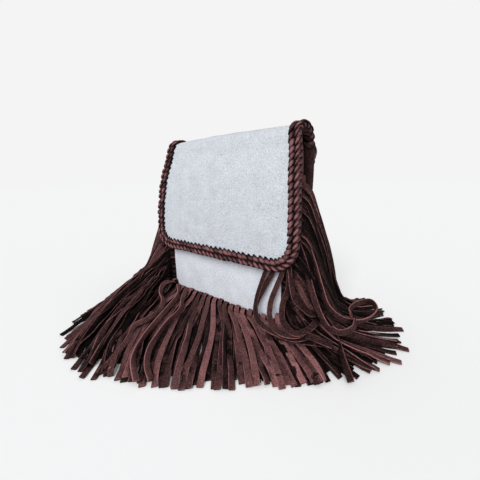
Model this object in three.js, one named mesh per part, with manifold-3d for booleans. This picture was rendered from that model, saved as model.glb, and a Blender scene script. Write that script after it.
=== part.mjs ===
// Fringe shoulder bag standing on its flat bottom, its fringe spread over the floor.
// Millimetres, +Z up. The front faces -Y, and the origin is the middle of the bottom face.
import * as THREE from "three";
import { mergeVertices } from "three/addons/utils/BufferGeometryUtils.js";
import Module from "manifold-3d";

const wasm = await Module();
wasm.setup();

// Driving dimensions
const LEATHER = 2.5; // wall thickness of the pale leather
const GAP = 0.3; // clearance between neighbouring pieces
const BODY_HALF = 108; // half the width of the body between its side seams
const FOLD_HALF = 110.5; // half the width of the leather over the top
const FLAP_HALF = 124; // half the width of the flap at its lower edge
const BAG_TOP = 247.5; // height of the fold over the top
const FLAP_FOOT = 86; // height of the flap's lower edge
const FOLD_RADIUS = 20; // round of the leather over the top
const FOLD_CENTRE = 4.5; // depth of the fold's centre behind the origin
const FLAP_CORNER = 28; // corner radius of the flap
const FOOT_CORNER = 14; // corner radius at the foot of the front and back panels
const PANEL_FOOT = 5.5; // height of the lower edge of the front and back panels
const PANEL_TOP = 203; // height of the front panel's upper edge
const GUSSET_WALL = 2; // wall thickness of the gusset
const GUSSET_TOP = 192; // height of the gusset's upper ends
const LACE_MARGIN = 12; // flat border of the leather under its lacing
// Two bindings: cover is how far one stands off the middle of the leather, reach how far it comes in over
// the leather, and past how far it stands out past the leather's edge.
const BRAID = { cover: 4.5, reach: 10, past: 4.5 };
const FRINGE_HEAD = { cover: 3.5, reach: 7, past: 2.8 };
const BELLY = 2; // how far the flap bows out in its middle
const STRIP_THICK = 3; // thickness of a lock of fringe
const STRIP_ROOT = 3; // width of a lock where it leaves the seam
const STRIP_WIDTH = 7.5; // width of a lock along its length
const STRIP_SPREAD = 30; // how far from the seam a lock reaches its full width
const FRONT_LOCKS = 25;
const SIDE_LOCKS = 15;
const LOCK_STEPS = { front: 7, side: 8 }; // straight runs along a lock of fringe
const ROOT_CLOSENESS = 1.3; // how much shorter the runs near a lock's root are
const FRINGE_START = 13; // where the side fringe starts, down from the front panel's upper edge
const SEAM_OVERLAP = 0.8; // how far a lock is sunk into the binding that holds it
const KNOT_RADIUS = 7;
const KNOT_HEIGHT = 23;
const KNOT_LEVEL = 217; // height of a knot's middle
const KNOT_SIDES = 10;
const FLAP_GRID = { across: 8, step: 17 }; // strips across and row spacing along the back and flap
const PANEL_GRID = { across: 6, step: 24 };
const NEAR_EDGE = 0.5; // where the side runs of a binding stop short of the leather's ends

// Side view of the back panel, the fold and the flap, from the back's foot to the flap's foot.
const foldAt = (degrees) => ({
  y: FOLD_CENTRE + FOLD_RADIUS * Math.cos(THREE.MathUtils.degToRad(degrees)),
  z: BAG_TOP - FOLD_RADIUS + FOLD_RADIUS * Math.sin(THREE.MathUtils.degToRad(degrees)),
  half: FOLD_HALF,
});
const BACK_AND_FLAP = [
  { y: 26, z: PANEL_FOOT, half: BODY_HALF },
  { y: 28, z: 70, half: BODY_HALF },
  { y: 28, z: 140, half: BODY_HALF + 1 },
  { y: 27.5, z: 200, half: FOLD_HALF },
  foldAt(0),
  foldAt(45),
  foldAt(90),
  foldAt(135),
  { y: -15.5, z: 220, half: FOLD_HALF + 2.5 },
  { y: -25, z: 190, half: FOLD_HALF + 8 },
  { y: -32, z: 140, half: FLAP_HALF },
  { y: -36.5, z: FLAP_FOOT, half: FLAP_HALF },
];

// Side view of the front panel, from its upper edge to its foot.
const FRONT_PANEL = [
  { y: -11, z: PANEL_TOP, half: BODY_HALF },
  { y: -16, z: 175, half: BODY_HALF },
  { y: -22, z: 135, half: BODY_HALF },
  { y: -26, z: 75, half: BODY_HALF },
  { y: -26, z: PANEL_FOOT, half: BODY_HALF },
];

// The fringe on each edge: a row for each guide lock, and the locks between are read off along it.
// share runs along the seam. leave is the way the lock leaves it, which it keeps for about lead, and turn the
// way to its tip, in degrees from straight ahead towards +X. tip is how far from the seam it ends, and arch
// how far it first rises.
const LEFT_FRINGE = [
  { share: 0, leave: -95, lead: 32, turn: -100, tip: 107, arch: 1 },
  { share: 0.15, leave: -92, lead: 32, turn: -76, tip: 108, arch: 1 },
  { share: 0.3, leave: -100, lead: 38, turn: -40, tip: 92, arch: 1 },
  { share: 0.42, leave: -104, lead: 48, turn: -10, tip: 150, arch: 1 },
  { share: 0.55, leave: -98, lead: 44, turn: 3, tip: 182, arch: 1 },
  { share: 0.7, leave: -70, lead: 24, turn: 14, tip: 200, arch: 2 },
  { share: 0.85, leave: -50, lead: 18, turn: 27, tip: 214, arch: 3 },
  { share: 1, leave: -40, lead: 16, turn: 36, tip: 214, arch: 5 },
];
const FRONT_FRINGE = [
  { share: 0, leave: 44, lead: 30, turn: 42, tip: 215, arch: 5 },
  { share: 0.12, leave: 42, lead: 30, turn: 43, tip: 206, arch: 5 },
  { share: 0.33, leave: 40, lead: 30, turn: 44, tip: 170, arch: 5 },
  { share: 0.48, leave: 46, lead: 34, turn: 47, tip: 156, arch: 6 },
  { share: 0.77, leave: 58, lead: 32, turn: 48, tip: 122, arch: 8 },
  { share: 1, leave: 60, lead: 30, turn: 47, tip: 105, arch: 9 },
];
const RIGHT_FRINGE = [
  { share: 0, leave: 122, lead: 45, turn: 140, tip: 150, arch: 2 },
  { share: 0.1, leave: 128, lead: 44, turn: 150, tip: 148, arch: 2 },
  { share: 0.2, leave: 134, lead: 45, turn: 160, tip: 152, arch: 2 },
  { share: 0.35, leave: 122, lead: 45, turn: 138, tip: 149, arch: 2 },
  { share: 0.5, leave: 106, lead: 42, turn: 118, tip: 141, arch: 2 },
  { share: 0.65, leave: 94, lead: 35, turn: 100, tip: 118, arch: 3 },
  { share: 0.8, leave: 78, lead: 30, turn: 78, tip: 99, arch: 4 },
  { share: 0.92, leave: 62, lead: 27, turn: 60, tip: 91, arch: 6 },
  { share: 1, leave: 52, lead: 26, turn: 50, tip: 87, arch: 7 },
];

// How the locks of each edge fall: their heights at FALL_SHARES of their way, as shares of the root's height.
const FALL_SHARES = [0.06, 0.13, 0.2, 0.3, 0.4, 0.5, 0.65, 0.8];
const LEFT_FALLS = [
  { share: 0, heights: [0.88, 0.58, 0.44, 0.36, 0.28, 0.21, 0.13, 0.05] },
  { share: 0.42, heights: [0.91, 0.81, 0.7, 0.55, 0.44, 0.35, 0.19, 0.07] },
  { share: 1, heights: [0.86, 0.53, 0.32, 0.17, 0.09, 0.05, 0.02, 0.01] },
];
const FRONT_FALLS = [
  { share: 0, heights: [0.6, 0.2, 0, 0, 0, 0, 0, 0] },
  { share: 1, heights: [0.8, 0.4, 0.1, 0, 0, 0, 0, 0] },
];
const RIGHT_FALLS = [
  { share: 0, heights: [0.985, 0.93, 0.79, 0.54, 0.28, 0.16, 0.07, 0.02] },
  { share: 1, heights: [0.93, 0.75, 0.52, 0.28, 0.13, 0.06, 0.02, 0.01] },
];

const PALE_SUEDE = { color: 0xc3c9d1, roughness: 0.92, metalness: 0 };
const BROWN_SUEDE = { color: 0x5a3836, roughness: 0.9, metalness: 0 };
const BROWN_LACE = { color: 0x5f3c3a, roughness: 0.75, metalness: 0 };
const DARK_SUEDE = { color: 0x3a2524, roughness: 0.95, metalness: 0 };

const bag = new THREE.Group();

function addPiece(name, geometry, finish) {
  const mesh = new THREE.Mesh(geometry, new THREE.MeshStandardMaterial(finish));
  mesh.name = name;
  bag.add(mesh);
}

// Evenly spread shares of a length, from 0 to 1.
const shares = (count) => Array.from({ length: count }, (_, i) => i / (count - 1));

// A solid through a row of rings with equal numbers of corners. An open row is closed at both ends by
// the triangles of cap, which number a ring's corners.
function loft(rings, cap, closed = false) {
  const corners = rings[0].length;
  const positions = rings.flat().flatMap((p) => [p.x, p.y, p.z]);
  const index = [];
  const spans = closed ? rings.length : rings.length - 1;
  for (let i = 0; i < spans; i++) {
    const here = i * corners;
    const next = ((i + 1) % rings.length) * corners;
    for (let k = 0; k < corners; k++) {
      const m = (k + 1) % corners;
      index.push(here + k, here + m, next + m, here + k, next + m, next + k);
    }
  }
  if (!closed) {
    const last = (rings.length - 1) * corners;
    for (const [a, b, c] of cap) {
      index.push(c, b, a, last + a, last + b, last + c);
    }
  }
  const geometry = new THREE.BufferGeometry();
  geometry.setAttribute("position", new THREE.Float32BufferAttribute(positions, 3));
  geometry.setIndex(index);
  return facingOut(geometry);
}

// The same closed geometry with its faces turned outwards.
function facingOut(geometry) {
  const position = geometry.getAttribute("position");
  const index = geometry.getIndex().array;
  const [a, b, c] = [new THREE.Vector3(), new THREE.Vector3(), new THREE.Vector3()];
  let volume = 0;
  for (let i = 0; i < index.length; i += 3) {
    a.fromBufferAttribute(position, index[i]);
    b.fromBufferAttribute(position, index[i + 1]);
    c.fromBufferAttribute(position, index[i + 2]);
    volume += a.dot(b.cross(c));
  }
  if (volume < 0) {
    for (let i = 0; i < index.length; i += 3) {
      [index[i + 1], index[i + 2]] = [index[i + 2], index[i + 1]];
    }
  }
  return geometry;
}

function solidOf(geometry) {
  const merged = mergeVertices(geometry.deleteAttribute("normal").deleteAttribute("uv"), 1e-4);
  return new wasm.Manifold(
    new wasm.Mesh({
      numProp: 3,
      vertProperties: new Float32Array(merged.getAttribute("position").array),
      triVerts: new Uint32Array(merged.getIndex().array),
    }),
  );
}

function geometryOf(solid) {
  const mesh = solid.getMesh();
  const geometry = new THREE.BufferGeometry();
  geometry.setAttribute("position", new THREE.Float32BufferAttribute(mesh.vertProperties, 3));
  geometry.setIndex([...mesh.triVerts]);
  return geometry;
}

// A piece of leather bent along a side view. It is addressed on its flat pattern: x across, s along.
class BentLeather {
  constructor(table, startCorner, endCorner, belly) {
    const points = table.map((row) => new THREE.Vector3(row.half, row.y, row.z));
    this.curve = new THREE.CatmullRomCurve3(points, false, "centripetal");
    this.curve.arcLengthDivisions = 800;
    this.length = this.curve.getLength();
    this.startCorner = startCorner;
    this.endCorner = endCorner;
    this.belly = belly;
  }

  // Half the width at s, drawn in by the round corners at both ends.
  half(s) {
    const cutAt = (radius, away) => {
      const inside = Math.max(radius - away, 0);
      return radius - Math.sqrt(Math.max(radius * radius - inside * inside, 0));
    };
    const square = this.curve.getPointAt(s / this.length).x;
    return square - cutAt(this.startCorner, s) - cutAt(this.endCorner, this.length - s);
  }

  // The frame of the middle surface at s: a point, the way along and the way out of the bag.
  frame(s) {
    const share = THREE.MathUtils.clamp(s / this.length, 0, 1);
    const along = this.curve.getTangentAt(share).setX(0).normalize();
    const at = this.curve.getPointAt(share);
    return { at, along, out: new THREE.Vector3(0, along.z, -along.y) };
  }

  point(x, s, height) {
    const { at, out } = this.frame(s);
    const across = x / (BODY_HALF - LACE_MARGIN);
    const swell = Math.sin((Math.PI * s) / this.length) ** 2;
    const bow = this.belly * swell * Math.max(1 - across * across, 0);
    return new THREE.Vector3(x, at.y, at.z).addScaledVector(out, height + bow);
  }

  // Places along the leather where its grid has a row: even steps, and closer ones round each corner.
  rows(step) {
    const turns = [0, 20, 40, 60, 90].map((d) => 1 - Math.cos(THREE.MathUtils.degToRad(d)));
    const first = this.startCorner ? turns.map((t) => t * this.startCorner) : [0];
    const last = this.endCorner ? turns.map((t) => this.length - t * this.endCorner).reverse() : [this.length];
    const [from, to] = [first.at(-1), last[0]];
    const count = Math.round((to - from) / step);
    const between = Array.from({ length: count - 1 }, (_, i) => from + ((i + 1) * (to - from)) / count);
    return [...first, ...between, ...last];
  }

  wall({ across, step }) {
    const rings = this.rows(step).map((s) => {
      const half = this.half(s);
      const field = shares(across - 1).map((share) => (half - LACE_MARGIN) * (2 * share - 1));
      const xs = [-half, ...field, half];
      const outer = xs.map((x) => this.point(x, s, LEATHER / 2));
      const inner = xs.map((x) => this.point(x, s, -LEATHER / 2)).reverse();
      return [...outer, ...inner];
    });
    const last = 2 * across + 1;
    const cap = Array.from({ length: across }, (_, i) => [
      [i, i + 1, last - i],
      [i + 1, last - i - 1, last - i],
    ]);
    return loft(rings, cap.flat());
  }

  // A ring of a binding round the leather's edge at (x, s), where the edge faces the flat way (ex, es).
  bindingRing(binding, x, s, ex, es) {
    const { along, out } = this.frame(s);
    const edge = this.point(x, s, 0);
    const away = new THREE.Vector3(ex, 0, 0).addScaledVector(along, es).normalize();
    return sectionOf(binding).map((p) => edge.clone().addScaledVector(away, p.x).addScaledVector(out, p.y));
  }

  // Rings of a binding along one side edge, from s = from to s = to. The side is -1 on the left.
  edgeRings(binding, from, to, step, side) {
    const inside = (s) => s > from && s < to;
    const list = [from, ...this.rows(step).filter(inside), to];
    const tiny = 0.05;
    return list.map((s) => {
      const [low, high] = [Math.max(s - tiny, 0), Math.min(s + tiny, this.length)];
      const lean = (this.half(high) - this.half(low)) / (high - low);
      const across = 1 / Math.hypot(1, lean);
      return this.bindingRing(binding, side * this.half(s), s, side * across, -lean * across);
    });
  }

  // Rings of a binding straight across one end of the leather, from one side to the other.
  endRings(binding, s, es, fromSide, count) {
    const half = this.half(s);
    return Array.from({ length: count + 1 }, (_, i) => {
      return this.bindingRing(binding, fromSide * half * (1 - (2 * i) / count), s, 0, es);
    });
  }
}

// A binding's cross-section: a rounded strip with a slot for the leather. x runs out past the edge.
function sectionOf({ cover, reach, past }) {
  const slot = LEATHER / 2 + GAP;
  const outline = [
    [1 - reach, slot],
    [GAP, slot],
    [GAP, -slot],
    [1 - reach, -slot],
    [-reach, -cover * 0.7],
    [2 - reach, -cover],
    [GAP, -cover],
    [past, -cover * 0.45],
    [past, cover * 0.45],
    [GAP, cover],
    [2 - reach, cover],
    [-reach, cover * 0.7],
  ];
  return outline.map(([x, y]) => new THREE.Vector2(x, y));
}

const BINDING_CAP = THREE.ShapeUtils.triangulateShape(sectionOf(BRAID), []);
const STRIP_CAP = [[0, 1, 2], [0, 2, 3]];

const backAndFlap = new BentLeather(BACK_AND_FLAP, FOOT_CORNER, FLAP_CORNER, BELLY);
const frontPanel = new BentLeather(FRONT_PANEL, 0, FOOT_CORNER, 0);

// The lacing runs once round the back and flap piece, as a closed loop.
function edgeLacing() {
  const { length } = backAndFlap;
  const { step } = FLAP_GRID;
  const up = backAndFlap.edgeRings(BRAID, NEAR_EDGE, length - NEAR_EDGE, step, 1);
  const down = backAndFlap.edgeRings(BRAID, NEAR_EDGE, length - NEAR_EDGE, step, -1).reverse();
  const flapFoot = backAndFlap.endRings(BRAID, length, 1, 1, 8);
  const backFoot = backAndFlap.endRings(BRAID, 0, -1, -1, 6);
  return loft([...up, ...flapFoot, ...down, ...backFoot], BINDING_CAP, true);
}

// The gusset: one strip down a side, under the bag and up the other side, between the two panels.
function gusset() {
  const half = BODY_HALF - 1;
  const cornerSteps = 5;
  const heights = [GUSSET_TOP, 165, 135, 100, 60, FOOT_CORNER + GUSSET_WALL];
  const radius = FOOT_CORNER + GUSSET_WALL;
  const side = heights.map((z) => ({ x: half, z, nx: 1, nz: 0 }));
  for (let i = 1; i <= cornerSteps; i++) {
    const angle = (i / cornerSteps) * (Math.PI / 2);
    const [nx, nz] = [Math.cos(angle), -Math.sin(angle)];
    side.push({ x: half - radius + radius * nx, z: radius + radius * nz, nx, nz });
  }
  const otherSide = side.map((p) => ({ ...p, x: -p.x, nx: -p.nx })).reverse();
  const sections = [...side, ...otherSide];
  const rings = sections.map(({ x, z, nx, nz }) => {
    const front = depthAt(frontPanel, z) + FRINGE_HEAD.cover + GAP;
    const back = depthAt(backAndFlap, z) - BRAID.cover - GAP;
    const inner = { x: x - nx * GUSSET_WALL, z: z - nz * GUSSET_WALL };
    return [
      new THREE.Vector3(x, front, z),
      new THREE.Vector3(x, back, z),
      new THREE.Vector3(inner.x, back, inner.z),
      new THREE.Vector3(inner.x, front, inner.z),
    ];
  });
  return loft(rings, STRIP_CAP);
}

// Depth of a panel's middle surface at a height below the fold.
function depthAt(leather, z) {
  const table = leather === frontPanel ? [...FRONT_PANEL].reverse() : BACK_AND_FLAP.slice(0, 5);
  return readOff(table, "z", z).y;
}

// A row between two rows of a table, read off in proportion along one of its columns.
function readOff(table, column, value) {
  const held = THREE.MathUtils.clamp(value, table[0][column], table.at(-1)[column]);
  const i = Math.max(table.findIndex((row) => row[column] >= held), 1);
  const [low, high] = [table[i - 1], table[i]];
  const share = (held - low[column]) / (high[column] - low[column]);
  const mix = (a, b) => (Array.isArray(a) ? a.map((v, k) => mix(v, b[k])) : THREE.MathUtils.lerp(a, b, share));
  return Object.fromEntries(Object.keys(low).map((key) => [key, mix(low[key], high[key])]));
}

// The level way that a turn points, in degrees from straight ahead towards +X.
function wayOf(turn) {
  const angle = THREE.MathUtils.degToRad(turn);
  return new THREE.Vector3(Math.sin(angle), -Math.cos(angle), 0);
}

// One lock of fringe. It leaves its root, falls to the floor and lies along it to its tip.
function lock(root, { leave, lead, turn, tip, arch }, { heights }, steps) {
  const floor = STRIP_THICK / 2;
  const onset = 8; // where it has risen by its arch
  const first = wayOf(leave);
  const last = wayOf(turn - (leave - turn) * 0.2);
  const end = root.clone().addScaledVector(wayOf(turn), tip);
  const plan = new THREE.CubicBezierCurve3(
    root,
    root.clone().addScaledVector(first, lead),
    end.clone().addScaledVector(last, -tip * 0.35),
    end,
  );
  const falls = FALL_SHARES.map((share, i) => {
    const height = root.z * heights[i];
    return { share, point: plan.getPointAt(share).setZ(Math.max(height, floor)) };
  });
  const points = [
    root,
    plan.getPointAt(onset / plan.getLength()).setZ(root.z + arch),
    ...falls.filter(({ share }) => share * tip > onset * 1.5).map(({ point }) => point),
    end.clone().setZ(floor),
  ];
  const curve = new THREE.CatmullRomCurve3(points, false, "centripetal");
  const rings = Array.from({ length: steps + 1 }, (_, i) => {
    const share = (i / steps) ** ROOT_CLOSENESS;
    const middle = curve.getPointAt(share);
    const way = curve.getTangentAt(share);
    const ahead = new THREE.Vector3(way.x, way.y, 0);
    const steep = ahead.length();
    ahead.normalize();
    const across = new THREE.Vector3(-ahead.y, ahead.x, 0);
    const lies = i === 0 || middle.z < floor + 1;
    const normal = lies ? new THREE.Vector3(0, 0, 1) : ahead.multiplyScalar(-way.z).setZ(steep);
    middle.setZ(Math.max(middle.z, floor));
    const spread = Math.min(middle.distanceTo(root) / STRIP_SPREAD, 1);
    const width = THREE.MathUtils.lerp(STRIP_ROOT, STRIP_WIDTH, spread);
    const corner = (a, b) =>
      middle.clone().addScaledVector(across, (a * width) / 2).addScaledVector(normal, (b * STRIP_THICK) / 2);
    return [corner(-1, -1), corner(1, -1), corner(1, 1), corner(-1, 1)];
  });
  return solidOf(loft(rings, STRIP_CAP));
}

// The locks along one edge of the front panel, fused to the lacing that holds them.
function fringe(headRings, locks) {
  const head = solidOf(loft(headRings, BINDING_CAP));
  return geometryOf(locks.reduce((all, one) => all.add(one), head));
}

function sideFringe(side, table, falls) {
  const { length } = frontPanel;
  const [top, foot] = [FRINGE_START, length - FOOT_CORNER - 2];
  const bead = BODY_HALF + FRINGE_HEAD.past - SEAM_OVERLAP;
  const locks = shares(SIDE_LOCKS).map((share) => {
    const s = THREE.MathUtils.lerp(top + 3, foot - 4, share);
    const { at } = frontPanel.frame(s);
    const root = new THREE.Vector3(side * bead, at.y + 1, Math.max(at.z, STRIP_THICK));
    return lock(root, readOff(table, "share", share), readOff(falls, "share", share), LOCK_STEPS.side);
  });
  return fringe(frontPanel.edgeRings(FRINGE_HEAD, top, foot, PANEL_GRID.step, side), locks);
}

function frontFringe() {
  const { length } = frontPanel;
  const start = length - FOOT_CORNER - 2 + GAP;
  const end = length - NEAR_EDGE;
  const left = frontPanel.edgeRings(FRINGE_HEAD, start, end, PANEL_GRID.step, -1);
  const right = frontPanel.edgeRings(FRINGE_HEAD, start, end, PANEL_GRID.step, 1).reverse();
  const foot = frontPanel.endRings(FRINGE_HEAD, length, 1, -1, 6);
  const face = FRONT_PANEL.at(-1).y - FRINGE_HEAD.cover + SEAM_OVERLAP;
  const span = BODY_HALF - FOOT_CORNER * 0.6;
  const locks = shares(FRONT_LOCKS).map((share) => {
    const root = new THREE.Vector3(span * (2 * share - 1), face, PANEL_FOOT + 3);
    const falls = readOff(FRONT_FALLS, "share", share);
    return lock(root, readOff(FRONT_FRINGE, "share", share), falls, LOCK_STEPS.front);
  });
  return fringe([...left, ...foot, ...right], locks);
}

// The knotted lace at each upper back corner, a barrel of three wraps.
function strapKnot(side) {
  const rings = 12;
  const profile = [new THREE.Vector2(0, -KNOT_HEIGHT / 2)];
  for (let i = 0; i <= rings; i++) {
    const share = i / rings;
    const barrel = Math.sin(Math.PI * (0.12 + 0.76 * share));
    const wraps = 1 - 0.16 * Math.cos(share * 3 * 2 * Math.PI) ** 2;
    profile.push(new THREE.Vector2(KNOT_RADIUS * barrel * wraps, KNOT_HEIGHT * (share - 0.5)));
  }
  profile.push(new THREE.Vector2(0, KNOT_HEIGHT / 2));
  const knot = new THREE.LatheGeometry(profile, KNOT_SIDES).rotateX(Math.PI / 2);
  const depth = depthAt(backAndFlap, KNOT_LEVEL) + BRAID.cover + KNOT_RADIUS + 2 * GAP;
  return knot.translate(side * (BODY_HALF - 1), depth, KNOT_LEVEL);
}

addPiece("back_and_flap", backAndFlap.wall(FLAP_GRID), PALE_SUEDE);
addPiece("front_panel", frontPanel.wall(PANEL_GRID), PALE_SUEDE);
addPiece("gusset", gusset(), DARK_SUEDE);
addPiece("edge_lacing", edgeLacing(), BROWN_LACE);
addPiece("fringe_left", sideFringe(-1, LEFT_FRINGE, LEFT_FALLS), BROWN_SUEDE);
addPiece("fringe_front", frontFringe(), BROWN_SUEDE);
addPiece("fringe_right", sideFringe(1, RIGHT_FRINGE, RIGHT_FALLS), BROWN_SUEDE);
addPiece("strap_knot_left", strapKnot(-1), BROWN_LACE);
addPiece("strap_knot_right", strapKnot(1), BROWN_LACE);

export default bag;
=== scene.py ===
"""A fringe shoulder bag: pale suede walls, laced edges, a fringe of cut strips, and its studio."""
import dataclasses
import math

import bpy
import mathutils
import numpy as np
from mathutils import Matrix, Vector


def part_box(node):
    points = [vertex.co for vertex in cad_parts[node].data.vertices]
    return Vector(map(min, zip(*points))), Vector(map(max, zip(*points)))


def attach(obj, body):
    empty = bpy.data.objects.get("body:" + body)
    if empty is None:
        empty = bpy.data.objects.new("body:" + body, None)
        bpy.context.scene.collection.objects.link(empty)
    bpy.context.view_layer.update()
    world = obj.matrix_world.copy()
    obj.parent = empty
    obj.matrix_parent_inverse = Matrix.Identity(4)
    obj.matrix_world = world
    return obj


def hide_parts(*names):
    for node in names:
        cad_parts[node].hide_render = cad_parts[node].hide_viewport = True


bl_info = {
    "name": "Fringe Shoulder Bag",
    "version": (1, 0, 0),
    "blender": (4, 5, 0),
    "location": "View3D > Sidebar > Fringe Bag",
    "description": "Dresses the solids of a fringe shoulder bag in suede, lacing and cut strips",
    "category": "Mesh",
}

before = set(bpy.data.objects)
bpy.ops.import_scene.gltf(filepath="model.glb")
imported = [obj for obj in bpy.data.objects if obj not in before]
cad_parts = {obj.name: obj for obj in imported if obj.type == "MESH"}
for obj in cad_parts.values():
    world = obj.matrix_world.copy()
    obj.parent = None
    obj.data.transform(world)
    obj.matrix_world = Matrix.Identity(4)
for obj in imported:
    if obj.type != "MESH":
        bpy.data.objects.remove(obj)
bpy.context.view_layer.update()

# Shapes are worked out in millimetres and become metres when a mesh is made.
MM = 0.001
# Lengths and weights below this count as none.
TINY = 1e-9

# Flat patterns, bent along a side view. Each row is half width, depth and height.
BODY_HALF, FOLD_HALF, FLAP_HALF = 108.0, 110.5, 124.0
FOLD_CENTRE, FOLD_RADIUS, BAG_TOP = 4.5, 20.0, 247.5
PANEL_FOOT, PANEL_TOP = 5.5, 203.0
FLAP_CORNER, FOOT_CORNER = 28.0, 14.0
FLAP_BELLY = 2.0
LEATHER = 2.5
LACE_MARGIN = 12.0


def fold_at(degrees):
    """A row of the back and flap pattern on the round fold over the top."""
    angle = math.radians(degrees)
    depth = FOLD_CENTRE + FOLD_RADIUS * math.cos(angle)
    return (FOLD_HALF, depth, BAG_TOP - FOLD_RADIUS + FOLD_RADIUS * math.sin(angle))


BACK_AND_FLAP = [
    (BODY_HALF, 26.0, PANEL_FOOT),
    (BODY_HALF, 28.0, 70.0),
    (BODY_HALF + 1.0, 28.0, 140.0),
    (FOLD_HALF, 27.5, 200.0),
    *(fold_at(degrees) for degrees in (0, 45, 90, 135)),
    (FOLD_HALF + 4.0, -15.5, 220.0),
    (FOLD_HALF + 8.5, -25.0, 190.0),
    (FLAP_HALF, -32.0, 140.0),
    (FLAP_HALF, -36.5, 86.0),
]
FRONT_PANEL = [
    (BODY_HALF, -11.0, PANEL_TOP),
    (BODY_HALF, -16.0, 175.0),
    (BODY_HALF, -22.0, 135.0),
    (BODY_HALF, -26.0, 75.0),
    (BODY_HALF, -26.0, PANEL_FOOT),
]

# How the fringe is spread from one end of a seam to the other (the sides from their tops): the way a strip
# leaves the seam and how far it keeps to it; the way to its tip, in degrees from straight ahead towards +X;
# how far off its tip is; and how far its end turns back from the way that it left.
SPREADS = {
    "left": {
        "share": (0.0, 0.15, 0.3, 0.42, 0.55, 0.7, 0.85, 1.0),
        "leave": (-95, -92, -86, -76, -62, -30, 4, 20),
        "lead": (32, 30, 26, 28, 32, 40, 55, 70),
        "turn": (-100, -76, -34, -13, 3, 15, 26, 31),
        "reach": (104, 94, 90, 148, 180, 203, 215, 218),
        "bend": (0.2, 0.2, 0.2, 0.2, 0.3, 0.6, 0.8, 1.0),
    },
    "front": {
        "share": (0.0, 0.2, 0.4, 0.6, 0.8, 1.0),
        "leave": (16, 20, 34, 54, 66, 74),
        "lead": (76, 66, 48, 38, 30, 26),
        "turn": (33, 34, 37, 45, 51, 58),
        "reach": (204, 189, 170, 143, 120, 94),
        "bend": (1.0, 1.0, 0.6, 0.4, 0.3, 0.3),
    },
    "right": {
        "share": (0.0, 0.1, 0.2, 0.35, 0.5, 0.65, 0.8, 0.92, 1.0),
        "leave": (130, 131, 134, 122, 106, 94, 78, 62, 50),
        "lead": (45, 44, 45, 45, 42, 35, 30, 27, 26),
        "turn": (153, 156, 160, 138, 118, 100, 80, 60, 46),
        "reach": (152, 150, 150, 147, 136, 118, 103, 90, 92),
        "bend": (0.2, 0.2, 0.2, 0.2, 0.2, 0.2, 0.2, 0.2, 0.2),
    },
}

# How a side strip falls: shares of its root's height at shares of its way, for some places down the seam.
WAY_SHARES = (0.0, 0.06, 0.13, 0.2, 0.3, 0.4, 0.5, 0.6, 0.75, 0.88, 1.0)
FALLS = {
    "left": [
        (0.0, (1, 0.93, 0.85, 0.76, 0.66, 0.56, 0.46, 0.32, 0.16, 0.06, 0)),
        (0.27, (1, 0.97, 0.92, 0.83, 0.68, 0.5, 0.31, 0.2, 0.1, 0.03, 0)),
        (0.42, (1, 0.93, 0.78, 0.58, 0.36, 0.25, 0.17, 0.12, 0.06, 0.02, 0)),
        (0.7, (1, 0.88, 0.74, 0.62, 0.48, 0.4, 0.33, 0.26, 0.14, 0.05, 0)),
        (1.0, (1, 0.9, 0.8, 0.74, 0.66, 0.58, 0.5, 0.4, 0.22, 0.1, 0)),
    ],
    "right": [
        (0.0, (1, 0.985, 0.93, 0.8, 0.6, 0.33, 0.18, 0.1, 0.035, 0.01, 0)),
        (0.3, (1, 0.97, 0.91, 0.79, 0.57, 0.32, 0.16, 0.09, 0.03, 0.01, 0)),
        (1.0, (1, 0.85, 0.6, 0.4, 0.22, 0.11, 0.05, 0.03, 0.01, 0, 0)),
    ],
}

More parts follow.
